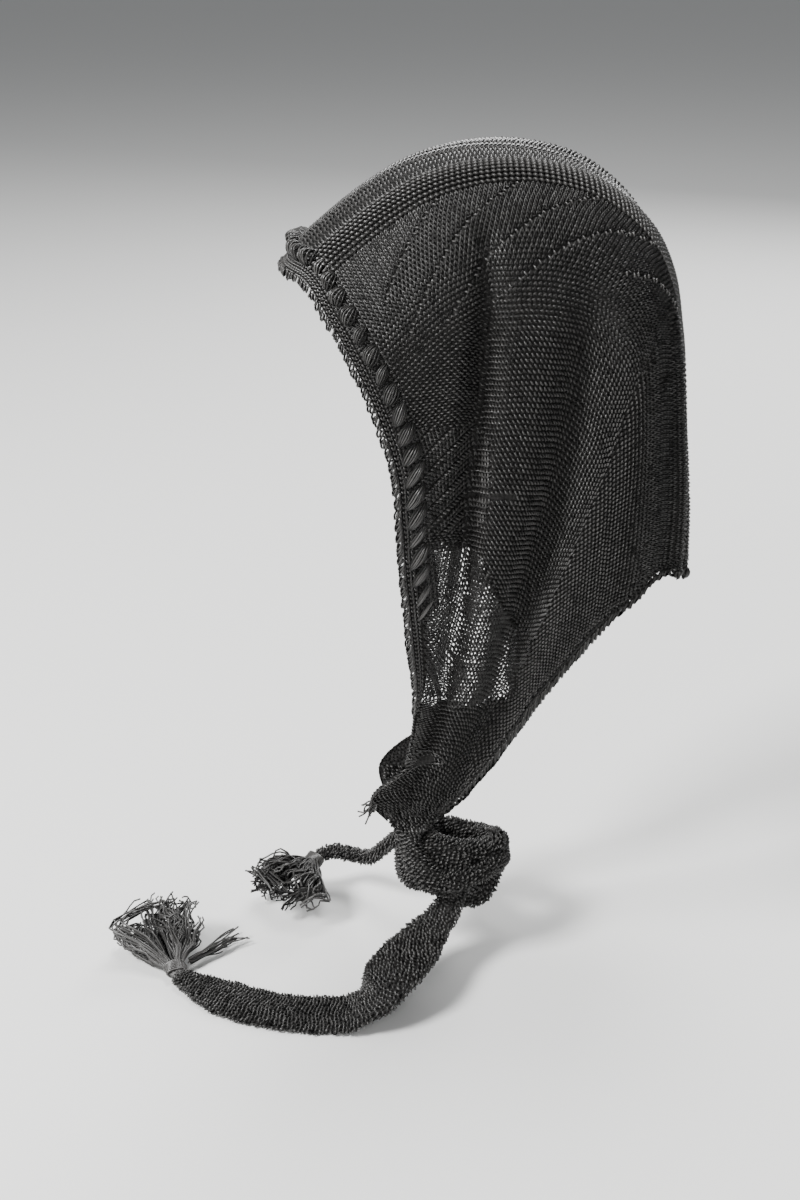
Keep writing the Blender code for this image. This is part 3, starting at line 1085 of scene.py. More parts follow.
    def _starts(self, total: float, depth: float) -> tuple[Array, Array]:
        """Return where a course's stitches start and which of them make the gore lines.

        A gore line cuts the course, and the stitches are counted afresh from each cut.

        Args:
            total: the course's length in millimetres.
            depth: its distance below the garter rows.

        Returns:
            The starts, and for each 1 on a gore line, -1 just before one and 0 elsewhere.
        """
        lines = [foot * total - depth * GORE_LEAN for foot, reach in GORES if depth < reach]
        edges = [0.0] + [x for x in lines if STITCH < x < total - STITCH] + [total]
        starts = []
        marks = []
        for left, right in zip(edges[:-1], edges[1:]):
            number = np.arange(max(int(round((right - left) / STITCH)), 1))
            starts.append(left + STITCH * number)
            marks.append((number == 0) - 1 * (number == number[-1]))
        start = np.concatenate(starts)
        inside = (start > STITCH) & (start < total - 2 * STITCH)
        return start, np.concatenate(marks) * inside

    def _gauge(self, cloth: Cloth, p: Array, q: float, step: float) -> tuple[Array, Array, Array]:
        """Return how far the courses crowd along a course, from 0 to 1, how they lean and their pitch.

        The pitch is the distance between the courses above and below, square to the course, halved.
        The lean is how far p changes with q along a line that is square to the course.

        Args:
            cloth: the half of the hood.
            p: places along the course.
            q: the course's share from the midline.
            step: the share between courses.

        Returns:
            The three, each with one value for each place.
        """
        course = np.full_like(p, q)
        above = cloth.at(p, course - step)[0]
        below = cloth.at(p, course + step)[0]
        forward = np.gradient(cloth.at(p, course)[0], p, axis=0)
        speed = np.linalg.norm(forward, axis=1)
        pitch = evened(np.linalg.norm(np.cross(below - above, forward), axis=1) / speed / 2)
        lean = evened(np.sum((below - above) * forward, axis=1) / speed**2 / (2 * step))
        crowd = smooth((CROWDED_PITCH - pitch) / CROWDS_OVER + 0.5)
        return np.where(p > CROWDS_BEHIND, crowd, 0.0), lean, pitch

    def _run(self, start: Array, crowd: Array) -> slice:
        """Return the run of stitches of a short course: from where crowding ends to where it begins.

        Args:
            start: the stitches' starts.
            crowd: how crowded each is; the run's ends are ragged by a random share.

        Returns:
            The run, as a slice of the stitches.
        """
        middle = len(start) * 2 // 5
        tight = np.flatnonzero(crowd > 0.5 + self.rng.normal(0, RAGGED, len(start)))
        low = tight[tight < middle].max(initial=-1) + 1
        high = tight[tight >= middle].min(initial=len(start))
        return slice(low, high)

    def _fabric(self, points: Array, depth: float, row: int) -> Array:
        """Return how much of each stitch is knit, purl and open mesh, one row of shares for each.

        Args:
            points: the stitches' places.
            depth: the course's distance below the garter rows, in millimetres.
            row: the course's number.

        Returns:
            Three rows of shares, in that order.
        """
        y, z = points[:, 1], points[:, 2]
        mesh = smooth(open_share(points) / MESH_FROM)
        knit = np.clip((KNIT_DEPTH - depth) / KNIT_FADE, 0, 1) * (1 - mesh)
        purl = 1 - mesh - knit
        (near, low), (wide, tall) = RIBBED_MIDDLE, RIBBED_HALF
        patch = np.exp(-(((y - near) / wide) ** 4) - ((z - low) / tall) ** 4) > 0.5
        if row % RIBBED_EVERY == 0:
            purl = np.where(patch, RIB_SHARE, purl)
        else:
            knit = np.where(patch, 0.9, knit)
            purl = np.where(patch, 0.1, purl)
        return np.stack([knit, purl, mesh])

    def edge_rows(self, strip: EdgeStrip) -> None:
        """Knit the plain edge of the lappets, where the trims have ended.

        Args:
            strip: the cloth beside the edge.
        """
        yarn = Yarn()
        last = strip.first + strip.reach
        for low, high in ((0.0, strip.first), (last, strip.total)):
            for row, offset in enumerate(LAPPET_ROWS):
                count = int((high - low) / STITCH)
                u, v, n = Stitch.PURL.samples(count)
                along = low + (u + 0.5 * (row % 2)) * (high - low) / count
                wave = self.rng.normal(0, 0.15, len(u))
                inward = (offset + 0.9 * v + wave) / strip.share_at(along)
                points, normals = strip.at(along, inward, LAPPET_RELIEF.lift(n))
                yarn.lay(points, normals, LAPPET_RELIEF.radius(n), LAPPET_RELIEF.height(n))
            rows = np.linspace(*LAPPET_GROUND, 5)
            along, offset = np.meshgrid(np.linspace(low, high, 60), rows, indexing="ij")
            share = np.maximum(strip.share_at(along), 0.05)
            name = f"lappet_edge_inner_{len(self.made)}"
            self.made.append(shell(name, Cloth(*strip.at(along, offset / share)), -1.7, self.ground))
        self.made.append(yarn.mesh(f"lappet_edge_{len(self.made)}", self.yarn))

    def _inner_layer(self, side: Side, name: str) -> None:
        """Add the dark layer of yarn between the two faces, which fills the gaps between the stitches with
        painted shade, left out where the fabric opens.

        Args:
            side: the half of the hood.
            name: the piece's name.
        """
        q = np.linspace(0, 1, INNER_GRID[1])
        near = inset(0, q, np.full_like(q, PICOT_WIDTH), side)
        far = inset(1, q, np.full_like(q, HEM_WIDTH - 2), side)
        p = near + (far - near) * np.linspace(0, 1, INNER_GRID[0])[:, None]
        grid = surface(p, np.broadcast_to(q, p.shape), side.value)
        kept = open_share(grid) < self.rng.uniform(0.01, 0.14, grid.shape[:2])
        self.made.append(shell(name, Cloth.of(grid, -side.value), -1.5, self.ground, kept))


def evened(values: Array) -> Array:
    """Return the running mean of values over their neighbours, the ends being carried on."""
    width = 2 * EVENED_OVER + 1
    return np.convolve(np.pad(values, EVENED_OVER, mode="edge"), np.full(width, 1 / width), mode="valid")


def open_share(points: Array) -> Array:
    """Return how open the fabric is, from 0 to 1.

    It thins to a net that starts narrow beside the braid and widens backwards as it falls: a bell
    of the distance from the net's middle line, faded at its top and bottom.

    Args:
        points: places on the hood, in millimetres.

    Returns:
        How open the fabric is at each place.
    """
    x, y, z = points[..., 0], points[..., 1], points[..., 2]
    fallen = np.clip(NET_TOP - z, 0, NET_GROWS_OVER)
    middle = NET_FORE + NET_DRIFT * fallen
    wide = NET_HALF_WIDTH + NET_WIDENS * fallen
    bottom = np.where(x > 0, NET_BOTTOM_LEFT, NET_BOTTOM_RIGHT)
    near = np.exp(-0.7 * ((y - middle) / wide) ** 2)
    near = near * smooth((NET_TOP + NET_ABOVE - z) / NET_TOP_FADE) * smooth((z - bottom) / NET_BOTTOM_FADE)
    return smooth((near - NET_BORDER) / NET_BORDER_FADE)


def place_at(distance: float) -> float:
    """Return the share q at a distance from the midline, taken half way back."""
    return float(place_of(np.array([distance]), np.array([0.5]))[0])


def shell(name: str, cloth: Cloth, lift: float, material: Material, kept: Array | None = None) -> Object:
    """Return an open sheet beside a cloth, of four-sided cells.

    Args:
        name: the object's name.
        cloth: the grid that it follows.
        lift: its distance off the cloth, in millimetres.
        material: its finish.
        kept: for each point of the grid, whether the cell that starts there is made; all are if None.

    Returns:
        The object, linked to the scene.
    """
    rows, columns = cloth.points.shape[:2]
    points = cloth.points + lift * cloth.normals
    corner = (np.arange(rows - 1)[:, None] * columns + np.arange(columns - 1)).ravel()
    if kept is not None:
        corner = corner[kept.ravel()[corner]]
    faces = np.stack([corner, corner + columns, corner + columns + 1, corner + 1], axis=-1)
    return make_mesh(name, points.reshape(-1, 3), faces, material)


@dataclass
class Braid:
    """The leaf braid along the face edge: puffs of strands that lean and tuck under each other.

    Attributes:
        strip: the cloth beside the face edge.
        yarn: the yarn's material.
        rng: the source of the small differences between puffs.
        puff: the pitch of the puffs along the edge, in millimetres.
        outer: how many strands lie on each side of a puff's middle one.
        turn: how far a puff leans along the edge, to each side of its middle.
        half: how far it reaches across the braid, to each side of its middle.
        bow: how far its outer strands bow along the edge.
        splay: how far they bow across it.
        relief: how its strands stand on the cloth.
        drop: how much lower than the middle one the outer strands stand.
        chains: the places of the chained borders across the braid, from each side of it.
    """

    strip: EdgeStrip
    yarn: Material
    rng: Rng
    puff: float = 11.2
    outer: int = 3
    turn: float = 1.9
    half: float = 4.5
    bow: float = 4.0
    splay: float = 1.7
    relief: Relief = Relief(rise=7.2, sunk=2.6, yarn=0.40, swell=0.24)
    drop: float = 3.9
    chains: tuple[float, float] = (0.4, 2.4)

    def build(self) -> Object:
        """Lay the puffs and the chained borders; return the braid."""
        yarn = Yarn()
        low, high = self.strip.span(BRAID_ENDS_AT)
        count = int((high - low) / self.puff)
        pitch = (high - low) / count
        for i in range(count):
            self._lay_puff(yarn, low + (i + 0.5) * pitch)
        near, far = self.chains
        for edge in (near, far, BRAID_WIDTH - far, BRAID_WIDTH - near):
            self._chain(yarn, edge)
        return yarn.mesh("braid_yarn", self.yarn)

    def _lay_puff(self, yarn: Yarn, middle: float) -> None:
        """Lay one puff: strands that cross the braid, bow apart and rise as a hump between their ends.

        Args:
            yarn: the lines that it is added to.
            middle: its place along the edge, in millimetres.
        """
        t = np.linspace(0, 1, 10)
        hump = np.sin(math.pi * t) ** 0.6
        mirror = 1 if middle > self.strip.total / 2 else -1
        down = self.strip.down_at(middle)
        fade = 1 - smooth((down - BRAID_FADES_AT) / (BRAID_ENDS_AT - BRAID_FADES_AT))
        plump = (1 + self.rng.normal(0, 0.12)) * (0.45 + 0.55 * fade)
        middle = middle + self.rng.normal(0, 0.4)
        turn = self.turn + self.rng.normal(0, 0.35)
        centre = PICOT_WIDTH + GAP + BRAID_WIDTH / 2 - self._slide(middle)
        for strand in range(-self.outer, self.outer + 1):
            spread = strand / self.outer
            wobble = self.rng.normal(0, 0.14, 2)
            along = middle + mirror * (turn * (2 * t - 1) + wobble[0] + spread * plump * self.bow * hump)
            offset = centre + self.half * (1 - 2 * t) + spread * plump * self.splay * hump + wobble[1]
            share = self.strip.share_at(along)
            rise = (self.relief.rise * plump - self.drop * spread**2) * hump
            lift = rise - self.relief.sunk + self.rng.normal(0, 0.25)
            points, normals = self.strip.at(along, offset, lift * (0.3 + 0.7 * share))
            # Painted light and shade: strands are lighter at the top of the hump and in the middle of the
            # puff, darker at its sides, scaled at random.
            height = hump * (1.05 - 0.7 * spread**2) * self.rng.uniform(0.55, 1.15)
            yarn.lay(points, normals, self.relief.radius(hump) * (0.5 + 0.5 * share), height)

    def _slide(self, along: Array | float) -> Array | float:
        """Return how far the braid lies nearer the edge, down the sides, at millimetres along it."""
        return BRAID_SLIDE * smooth((self.strip.down_at(along) - BRAID_SLIDES_AT) / BRAID_SLIDES_OVER)

    def _chain(self, yarn: Yarn, edge: float) -> None:
        """Lay one course of knit stitches along the braid.

        Args:
            yarn: the lines that it is added to.
            edge: its distance in from the braid's outer border, in millimetres.
        """
        low, high = self.strip.span(BRAID_ENDS_AT)
        count = int((high - low) / STITCH)
        u, v, n = Stitch.KNIT.samples(count)
        along = low + u * (high - low) / count + self.rng.normal(0, 0.06, len(u))
        offset = PICOT_WIDTH + GAP + edge - self._slide(along)
        points, normals = self.strip.at(along, offset + v, CHAIN_RELIEF.lift(n))
        yarn.lay(points, normals, CHAIN_RELIEF.radius(n), CHAIN_RELIEF.height(n))


def trim_layer(
    name: str, strip: EdgeStrip, low: float, high: float, ground: Material, end: float = 1.0
) -> Object:
    """Return the dark layer of yarn inside a trim, which fills the gaps between its stitches with painted
    shade.

    Args:
        name: the object's name.
        strip: the cloth beside the edge.
        low: its near side's distance in from the edge, in millimetres.
        high: its far side's distance in from the edge.
        ground: its finish.
        end: how far down it reaches, as a share.

    Returns:
        The object, linked to the scene.
    """
    places = np.linspace(*strip.span(end), 230)
    along, offset = np.meshgrid(places, np.linspace(low, high, 6), indexing="ij")
    return shell(name, Cloth(*strip.at(along, offset)), -1.9, ground)


@dataclass
class Edging:
    """A looped edging: small clusters of loops outside rows of raised stitches.

    Attributes:
        name: the piece's name.
        strip: the cloth beside the edge.
        width: the edging's width in millimetres.
        pitch: the distance between clusters.
        loops: how many loops make a cluster.
        stout: the radius of the yarn in the loops.
        out: how far the loops reach past the edge.
        bright: how much light is painted into their colour.
        yarn: the yarn's material.
        rng: the source of the small differences between loops.
        loop: a loop's radius along the edge, over the distance between loops.
        tall: a loop's radius across the edge, over the one along it.
        root: how far in the loops' middles lie, over the width.
        arch: how much further in the outer loops of a cluster lie, in millimetres.
        gather: how close the loops of a cluster stand, over their even spacing.
        rows_from: where the rows start, over the width.
        row_pitch: the distance between rows, in millimetres.
    """

    name: str
    strip: EdgeStrip
    width: float
    pitch: float
    loops: int
    stout: float
    out: float
    bright: float
    yarn: Material
    rng: Rng
    loop: float = 0.58
    tall: float = 1.15
    root: float = 0.14
    arch: float = 1.9
    gather: float = 0.86
    rows_from: float = 0.42
    row_pitch: float = 1.35

    def build(self) -> Object:
        """Lay the rows and the clusters of loops, each loop a tilted circle; return the edging."""
        yarn = Yarn()
        self._rows(yarn)
        turn = np.linspace(-0.5 * math.pi, 1.5 * math.pi, 10)
        crest = np.sin(turn + LOOP_CREST)
        count = int(self.strip.reach / self.pitch)
        for i in range(count):
            middle = self.strip.first + (i + 0.5) * self.strip.reach / count + self.rng.normal(0, 0.25)
            for k in range(self.loops):
                place = (k + 0.5) / self.loops - 0.5
                size = self.pitch / self.loops * self.loop * (1 + self.rng.normal(0, 0.12))
                depth = self.width * self.root + self.arch * abs(place) - self.out
                depth = depth + self.rng.normal(0, 0.3)
                along = middle + place * self.pitch * self.gather + size * np.cos(turn)
                offset = depth + size * self.tall * np.sin(turn)
                tilt = self.rng.uniform(-0.5, 1.1)
                lift = tilt * np.cos(turn) - LOOP_RELIEF.sunk + LOOP_RELIEF.rise * crest
                points, normals = self.strip.at(along, offset, lift)
                # Painted light: each loop is lighter at its crest.
                yarn.lay(points, normals, self.stout, self.bright * LOOP_RELIEF.height(crest))
        return yarn.mesh(self.name, self.yarn)

    def _rows(self, yarn: Yarn) -> None:
        """Lay raised rows of knit and purl stitches by turns inside the loops.

        Args:
            yarn: the lines that they are added to.
        """
        offsets = np.arange(self.width * self.rows_from, self.width + 0.2, self.row_pitch)
        for row, offset in enumerate(offsets):
            count = int(self.strip.reach / (STITCH * 1.15))
            u, v, n = (Stitch.PURL if row % 2 else Stitch.KNIT).samples(count)
            along = self.strip.first + (u + 0.5 * (row // 2 % 2)) * self.strip.reach / count
            along = along + self.rng.normal(0, 0.1, len(u))
            points, normals = self.strip.at(along, offset + v, EDGING_RELIEF.lift(n))
            yarn.lay(points, normals, EDGING_RELIEF.radius(n), self.bright * EDGING_RELIEF.height(n))


def knit_round(yarn: Yarn, cloth: Cloth, pitch: float, rng: Rng) -> None:
    """Knit a closed sleeve of purl bumps, course after course, a little unevenly.

    The unevenness is a product of two sines, one round the sleeve and one along it.

    Args:
        yarn: the lines that it is added to.
        cloth: the sleeve's skin, over the shares along and round it.
        pitch: the distance between courses, in millimetres.
        rng: the source of the small differences between stitches.
    """
    reach = np.linalg.norm(np.diff(cloth.points, axis=0), axis=2).sum(axis=0).mean()
    courses = int(reach / pitch)
    phase = rng.uniform(0, 2 * math.pi, 4)
    for course in range(courses):
        a = (course + 0.5) / courses
        b = np.linspace(0, 1, 60)
        ring, _ = cloth.at(np.full_like(b, a), b)
        along = travelled(ring)
        count = max(int(along[-1] / STITCH), 3)
        u, v, n = Stitch.PURL.samples(count)
        u, v, n = (np.append(line, last) for line, last in ((u, count), (v, v[0]), (n, n[0])))
        jitter = rng.normal(0, SLEEVE_JITTER, (len(u), 2)).T
        shift = np.append(np.repeat(rng.normal(0, SLEEVE_SHIFT, count), SAMPLES), 0.0)
        place = (u + shift + 0.5 * (course % 2)) / count
        lump = np.sin(place * 4 * math.pi + a * 31 + phase[0]) * np.sin(a * 47 + phase[1])
        wave = SLEEVE_WAVE * np.sin(place * 6 * math.pi + phase[2])
        across = np.clip(a + (v + jitter[0]) / courses + wave, 0, 1)
        back = np.interp((place % 1.0) * along[-1], along, b)
        lift = SLEEVE_RELIEF.lift(n) + jitter[1] + SLEEVE_LUMP * lump
        points, normals = cloth.at(across, back, lift)
        # Painted light and shade: lighter where each stitch stands out, scaled at random stitch by stitch.
        bright = np.repeat(rng.normal(0.8, 0.3, count), SAMPLES)
        bright = np.append(bright, bright[0])
        yarn.lay(points, normals, SLEEVE_RELIEF.radius(n), SLEEVE_RELIEF.height(n) * bright)


@dataclass(frozen=True)
class Strand:
    """A knitted sleeve, pressed flat, along its stations.

    Attributes:
        stations: rows of x, y, z, breadth and thickness in millimetres.
        wound: whether it lies against the throat; otherwise it lies flat to the floor.
        lappet: the side of the lappet that it grows out of (1 left, -1 right), or 0.
    """

    stations: Array
    wound: bool = False
    lappet: int = 0

    def cloth(self) -> Cloth:
        """Return the sleeve's skin over (share along, share round), a squared oval at each station."""
        rows = curve(self.stations, np.linspace(0, 1, SLEEVE_GRID[0]))
        centre, breadth, thickness = rows[:, :3], rows[:, 3], rows[:, 4]
        forward = unit(np.gradient(centre, axis=0))
        if self.wound:
            out = centre - np.array([0.0, THROAT_Y, 0.0])
            out[:, 2] = 0.0
            out = unit(out)
            flat = abs(self.lappet) * smooth(1.5 - np.linspace(0, 1, len(rows)) / 0.3)[:, None]
            out = (1 - flat) * out + flat * np.array([float(self.lappet), 0.0, 0.0])
        else:
            out = np.broadcast_to(np.array([0.0, 0.0, 1.0]), centre.shape)
        across = unit(np.cross(forward, out))
        up = np.cross(across, forward)
        turn = np.linspace(0, 2 * math.pi, SLEEVE_GRID[1])
        wide = 0.5 * np.sign(np.cos(turn)) * np.abs(np.cos(turn)) ** 0.8
        high = 0.5 * np.sign(np.sin(turn)) * np.abs(np.sin(turn)) ** 0.6
        ring = centre[:, None] + across[:, None] * (wide[None, :, None] * breadth[:, None, None])
        ring = ring + up[:, None] * (high[None, :, None] * thickness[:, None, None])
        return Cloth.of(ring, 1)

    @classmethod
    def round_throat(cls, table: tuple, lappet: int = 0) -> "Strand":
        """Return a strand that is wound about the throat.

        Args:
            table: rows of angle, radius, z, breadth and thickness, in degrees and millimetres.
            lappet: the side of the lappet that it grows out of, or 0.

        Returns:
            The strand.
        """
        rows = np.array(table, float)
        angle = np.radians(rows[:, 0])
        x = rows[:, 1] * np.cos(angle)
        y = THROAT_Y + rows[:, 1] * np.sin(angle)
        return cls(np.column_stack([x, y, rows[:, 2:]]), wound=True, lappet=lappet)


@dataclass(frozen=True)
class Knot:
    """The tied knot: a broad wrap and a cord round the throat, and the lappet ends drawn over them.

    Attributes:
        yarn: the yarn's material.
        ground: the inner layers' material.
        pitch: the distance between courses, in millimetres.
    """

    yarn: Material
    ground: Material
    pitch: float = 2.2

    def build(self, rng: Rng) -> list[Object]:
        """Knit the strands over dark inner layers; return the knot's objects.

        Args:
            rng: the source of the small differences between stitches.

        Returns:
            The objects, the yarn first.
        """
        yarn = Yarn()
        made = []
        strands = ((KNOT_WRAP, 0), (KNOT_CORD, 0), (KNOT_LEFT, 1), (KNOT_RIGHT, -1), (KNOT_TAIL, 0))
        for number, (table, lappet) in enumerate(strands):
            cloth = Strand.round_throat(table, lappet).cloth()
            knit_round(yarn, cloth, self.pitch, rng)
            made.append(shell(f"knot_inner_{number}", cloth.coarse(60, 20), -1.4, self.ground))
        return [yarn.mesh("knot_yarn", self.yarn)] + made


@dataclass(frozen=True)
class Tie:
    """A knitted tie that ends in a tassel.

    Attributes:
        name: the piece's name.
        table: rows of x, y, z, breadth and thickness in millimetres.
        yarn: the yarn's material.
        ground: the inner layer's material.
        pitch: the distance between courses, in millimetres.
    """

    name: str
    table: tuple
    yarn: Material
    ground: Material
    pitch: float = 2.1

    def centre_line(self) -> Array:
        """Return the centres of the inner layer's rings, in metres."""
        return curve(self.table, np.linspace(0, 1, TIE_RINGS))[:, :3] * MM

    def build(self, rng: Rng) -> list[Object]:
        """Knit the tie over a dark inner layer; return its objects.

        Args:
            rng: the source of the small differences between stitches.

        Returns:
            The yarn and the inner layer.
        """
        cloth = Strand(np.array(self.table, float)).cloth()
        yarn = Yarn()
        knit_round(yarn, cloth, self.pitch, rng)
        inner = shell(f"{self.name}_inner", cloth.coarse(TIE_RINGS, 20), -1.3, self.ground)
        return [yarn.mesh(f"{self.name}_yarn", self.yarn), inner]


@dataclass(frozen=True)
class Tassel:
    """A tassel: yarn bound at the neck that spreads into a soft, uneven skirt.

    Attributes:
        name: the piece's name.
        neck: where the tie meets it, in millimetres.
        tip: the middle of the skirt's end.
        flatten: its height over its breadth.
        yarn: the yarn's material.
        strands: how many strands the skirt has.
        locks: how many locks they hang together in.
        waves: half waves along a strand, slow, middling and quick.
        lock_sway: how far a lock sways by each of them, in millimetres.
        strand_sway: how far a strand sways beside its lock.
        curl: how far a hooked strand turns back, over the tassel's length.
        winds: how often the binding goes round the neck.
        neck_radius: the binding's radius, in millimetres.
    """

    name: str
    neck: tuple
    tip: tuple
    flatten: float
    yarn: Material
    strands: int = 264
    locks: int = 24
    waves: tuple = (2.1, 5.3, 9.7)
    lock_sway: tuple = (3.4, 2.4, 0.9)
    strand_sway: tuple = (0.5, 0.7, 0.6)
    curl: float = 0.22
    winds: int = 7
    neck_radius: float = 5.9

    def build(self, rng: Rng) -> Object:
        """Lay the strands and the binding; return the tassel.

        Args:
            rng: the source of the differences between strands.

        Returns:
            The tassel's object.
        """
        neck, tip = np.array(self.neck, float), np.array(self.tip, float)
        axis = tip - neck
        forward = axis / float(np.linalg.norm(axis))
        across = unit(np.cross(forward, (0.0, 0.0, 1.0)))
        up = np.cross(across, forward)
        profile = np.array(TASSEL, float)
        yarn = Yarn()
        t = np.linspace(0, 1, 16)
        for _ in range(self.locks):
            lock = rng.uniform(0, 2 * math.pi)
            lock_depth = math.sqrt(rng.uniform(0.05, 1.0))
            lock_reach = rng.uniform(0.62, 1.12)
            lock_hook = rng.uniform(-1.2, 1.2)
            lock_size = rng.normal(0, 1, (2, 3)) * np.array(self.lock_sway)
            lock_beat = rng.uniform(0, FULL_TURN, 3)
            for _ in range(self.strands // self.locks):
                depth = np.clip(lock_depth + rng.normal(0, 0.13), 0.05, 1.05)
                share = t * lock_reach * rng.uniform(0.8, 1.06)
                radius = depth * np.interp(share, profile[:, 0], profile[:, 1])
                size = lock_size + rng.normal(0, 1, (2, 3)) * np.array(self.strand_sway)
                beat = math.pi * share[:, None] * np.array(self.waves) + lock_beat + rng.normal(0, 0.35, 3)
                sway = np.sin(beat) @ size.T * smooth(share / 0.5)[:, None]
                hook = (lock_hook + rng.normal(0, 0.3)) * smooth((share - 0.4) / 0.6) ** 2
                turn = lock + rng.normal(0, 0.16) + hook
                wide = radius * np.cos(turn) + sway[:, 0]
                high = self.flatten * (radius * np.sin(turn) + sway[:, 1])
                back = share - self.curl * abs(hook) * smooth((share - 0.6) / 0.5)
                points = neck + axis * back[:, None] + wide[:, None] * across + high[:, None] * up
                points[:, 2] = np.maximum(points[:, 2], FLOOR_Z + THREAD_CLEAR)
                normals = np.broadcast_to(up, points.shape)
                # Painted shade: strands deep inside the tassel are darker than those on its outside, scaled
                # at random.
                height = (0.1 + 0.9 * depth**2) * rng.uniform(0.5, 1.1)
                yarn.lay(points, normals, TASSEL_YARN * (1 - 0.2 * t), height)
        self._binding(yarn, neck, axis, across, up)
        return yarn.mesh(f"{self.name}_yarn", self.yarn)

    def _binding(self, yarn: Yarn, neck: Array, axis: Array, across: Array, up: Array) -> None:
        """Wind the neck with turns of yarn: a flattened spiral.

        Args:
            yarn: the lines that it is added to.
            neck: where the tassel starts.
            axis: from there to the skirt's end.
            across: the unit vector across the tassel, level.
            up: the unit vector square to both.
        """
        turn = np.linspace(0, 2 * math.pi * self.winds, 140)
        along = 0.03 + 0.13 * turn / turn[-1]
        radius = self.neck_radius + 0.5 * np.sin(turn * 3.1)
        reach = float(np.linalg.norm(axis))
        middle = neck + axis / reach * (along * reach)[:, None]
        points = middle + across * (radius * np.cos(turn))[:, None]
        points = points + up * (self.flatten * radius * np.sin(turn))[:, None]
        points[:, 2] = np.maximum(points[:, 2], FLOOR_Z + 0.6)
        out = points - neck - axis / reach * (along * reach)[:, None]
        yarn.lay(points, out, 0.8)


def loose_ends(name: str, line: tuple, count: int, yarn: Material, rng: Rng) -> Object:
    """Return a few loose threads, each bent by a sine that grows towards its end.

    Args:
        name: the object's name.
        line: where they start, where they end and how far they scatter there.
        count: how many there are.
        yarn: the yarn's material.
        rng: the source of the differences between threads.

    Returns:
        The object, linked to the scene.
    """
    start, end = np.array(line[0], float), np.array(line[1], float)
    t = np.linspace(0, 1, 11)
    made = Yarn()
    for _ in range(count):
        tip = end + rng.normal(0, line[2] * 0.6, 3)
        bend = np.sin(np.outer(t, rng.uniform(2, 7, 3)) + rng.uniform(0, FULL_TURN, 3))
        points = start + rng.normal(0, 0.8, 3) + np.outer(t * rng.uniform(0.5, 1.0), tip - start)
        points = points + bend * (line[2] * 0.3 * t)[:, None]
        points[:, 2] = np.maximum(points[:, 2], FLOOR_Z + THREAD_CLEAR)
        normals = np.broadcast_to(np.array([1.0, 0.0, 0.3]), points.shape)
        made.lay(points, normals, THREAD_RADIUS, rng.uniform(0.4, 1.0))
    return made.mesh(name, yarn)


class Tone(Enum):
    """Finishes: red, green, blue, roughness and sheen."""

    HOOD = (0.019, 0.018, 0.017, 0.36, 0.04)
    TRIM = (0.017, 0.016, 0.015, 0.35, 0.04)
    TIE = (0.020, 0.019, 0.018, 0.40, 0.05)


def new_material(name: str, rough: float) -> tuple[Material, bpy.types.Node]:
    """Return a new material of a roughness, and its shader node.

    Args:
        name: the material's name.
        rough: its roughness, from 0 to 1.

    Returns:
        The material and the node.
    """
    material = bpy.data.materials.new(name)
    material.use_nodes = True
    shader = material.node_tree.nodes["Principled BSDF"]
    shader.inputs["Roughness"].default_value = rough
    return material, shader


def colour_mix(tree: Tree, factor: Socket, colours: tuple) -> Socket:
    """Return the output of a node that mixes two colours.

    Args:
        tree: the tree that the node is added to.
        factor: the output that sets how much of the second colour there is.
        colours: the two colours, red, green and blue.

    Returns:
        The node's output.
    """
    node = tree.nodes.new("ShaderNodeMix")
    node.data_type = "RGBA"
    for socket, colour in zip("AB", colours):
        node.inputs[socket].default_value = (*colour, 1)
    tree.links.new(factor, node.inputs["Factor"])
    return node.outputs["Result"]


def scaled(tree: Tree, value: Socket, times: float, plus: float) -> Socket:
    """Return the output of a node that multiplies a value by a number and adds another.

    Args:
        tree: the tree that the node is added to.
        value: the output that is multiplied.
        times: what it is multiplied by.
        plus: what is added.

    Returns:
        The node's output.
    """
    node = tree.nodes.new("ShaderNodeMath")
    node.operation = "MULTIPLY_ADD"
    node.inputs[1].default_value = times
    node.inputs[2].default_value = plus
    tree.links.new(value, node.inputs[0])
    return node.outputs["Value"]


def bumped(tree: Tree, value: Socket, strength: float, height: float) -> Socket:
    """Return the normal of a surface that a value raises.

    Args:
        tree: the tree that the node is added to.
        value: the output that raises it.
        strength: how strongly it does, from 0 to 1; below 0 it sinks the surface.
        height: the bumps' height in metres.

    Returns:
        The node's output.
    """
    node = tree.nodes.new("ShaderNodeBump")
    node.invert = strength < 0
    node.inputs["Strength"].default_value = abs(strength)
    node.inputs["Distance"].default_value = height
    tree.links.new(value, node.inputs["Height"])
    return node.outputs["Normal"]


@dataclass(frozen=True)
class YarnFinish:
    """Dyed black yarn: slightly uneven dye, light and shade painted by how far the yarn stands out, fibres
    along the strand and a soft halo.

    Attributes:
        name: the material's name.
        tone: its colour, roughness and sheen.
        sunk: how bright the colour is where the yarn is sunk: painted shade.
        raised: how bright it is where the yarn stands out: painted light.
        halo: how rough the sheen is.
    """

    name: str
    tone: Tone
    sunk: float = 0.1
    raised: float = 2.0
    halo: float = 0.45

    def build(self) -> Material:
        """Return the material."""
        red, green, blue, rough, sheen = self.tone.value
        material, shader = new_material(self.name, rough)
        shader.inputs["Sheen Weight"].default_value = sheen
        shader.inputs["Sheen Roughness"].default_value = self.halo
        tree = material.node_tree
        group = tree.nodes.new("ShaderNodeGroup")
        group.node_tree = fibre_group()
        # Lit and shaded copies of the tone: painted shade where the yarn is sunk, painted light where it
        # stands out.
        colours = tuple((red * k, green * k, blue * k) for k in (self.sunk, self.raised))
        tree.links.new(colour_mix(tree, group.outputs["Shade"], colours), shader.inputs["Base Color"])
        tree.links.new(group.outputs["Shine"], shader.inputs["Specular IOR Level"])
        tree.links.new(group.outputs["Normal"], shader.inputs["Normal"])
        return material


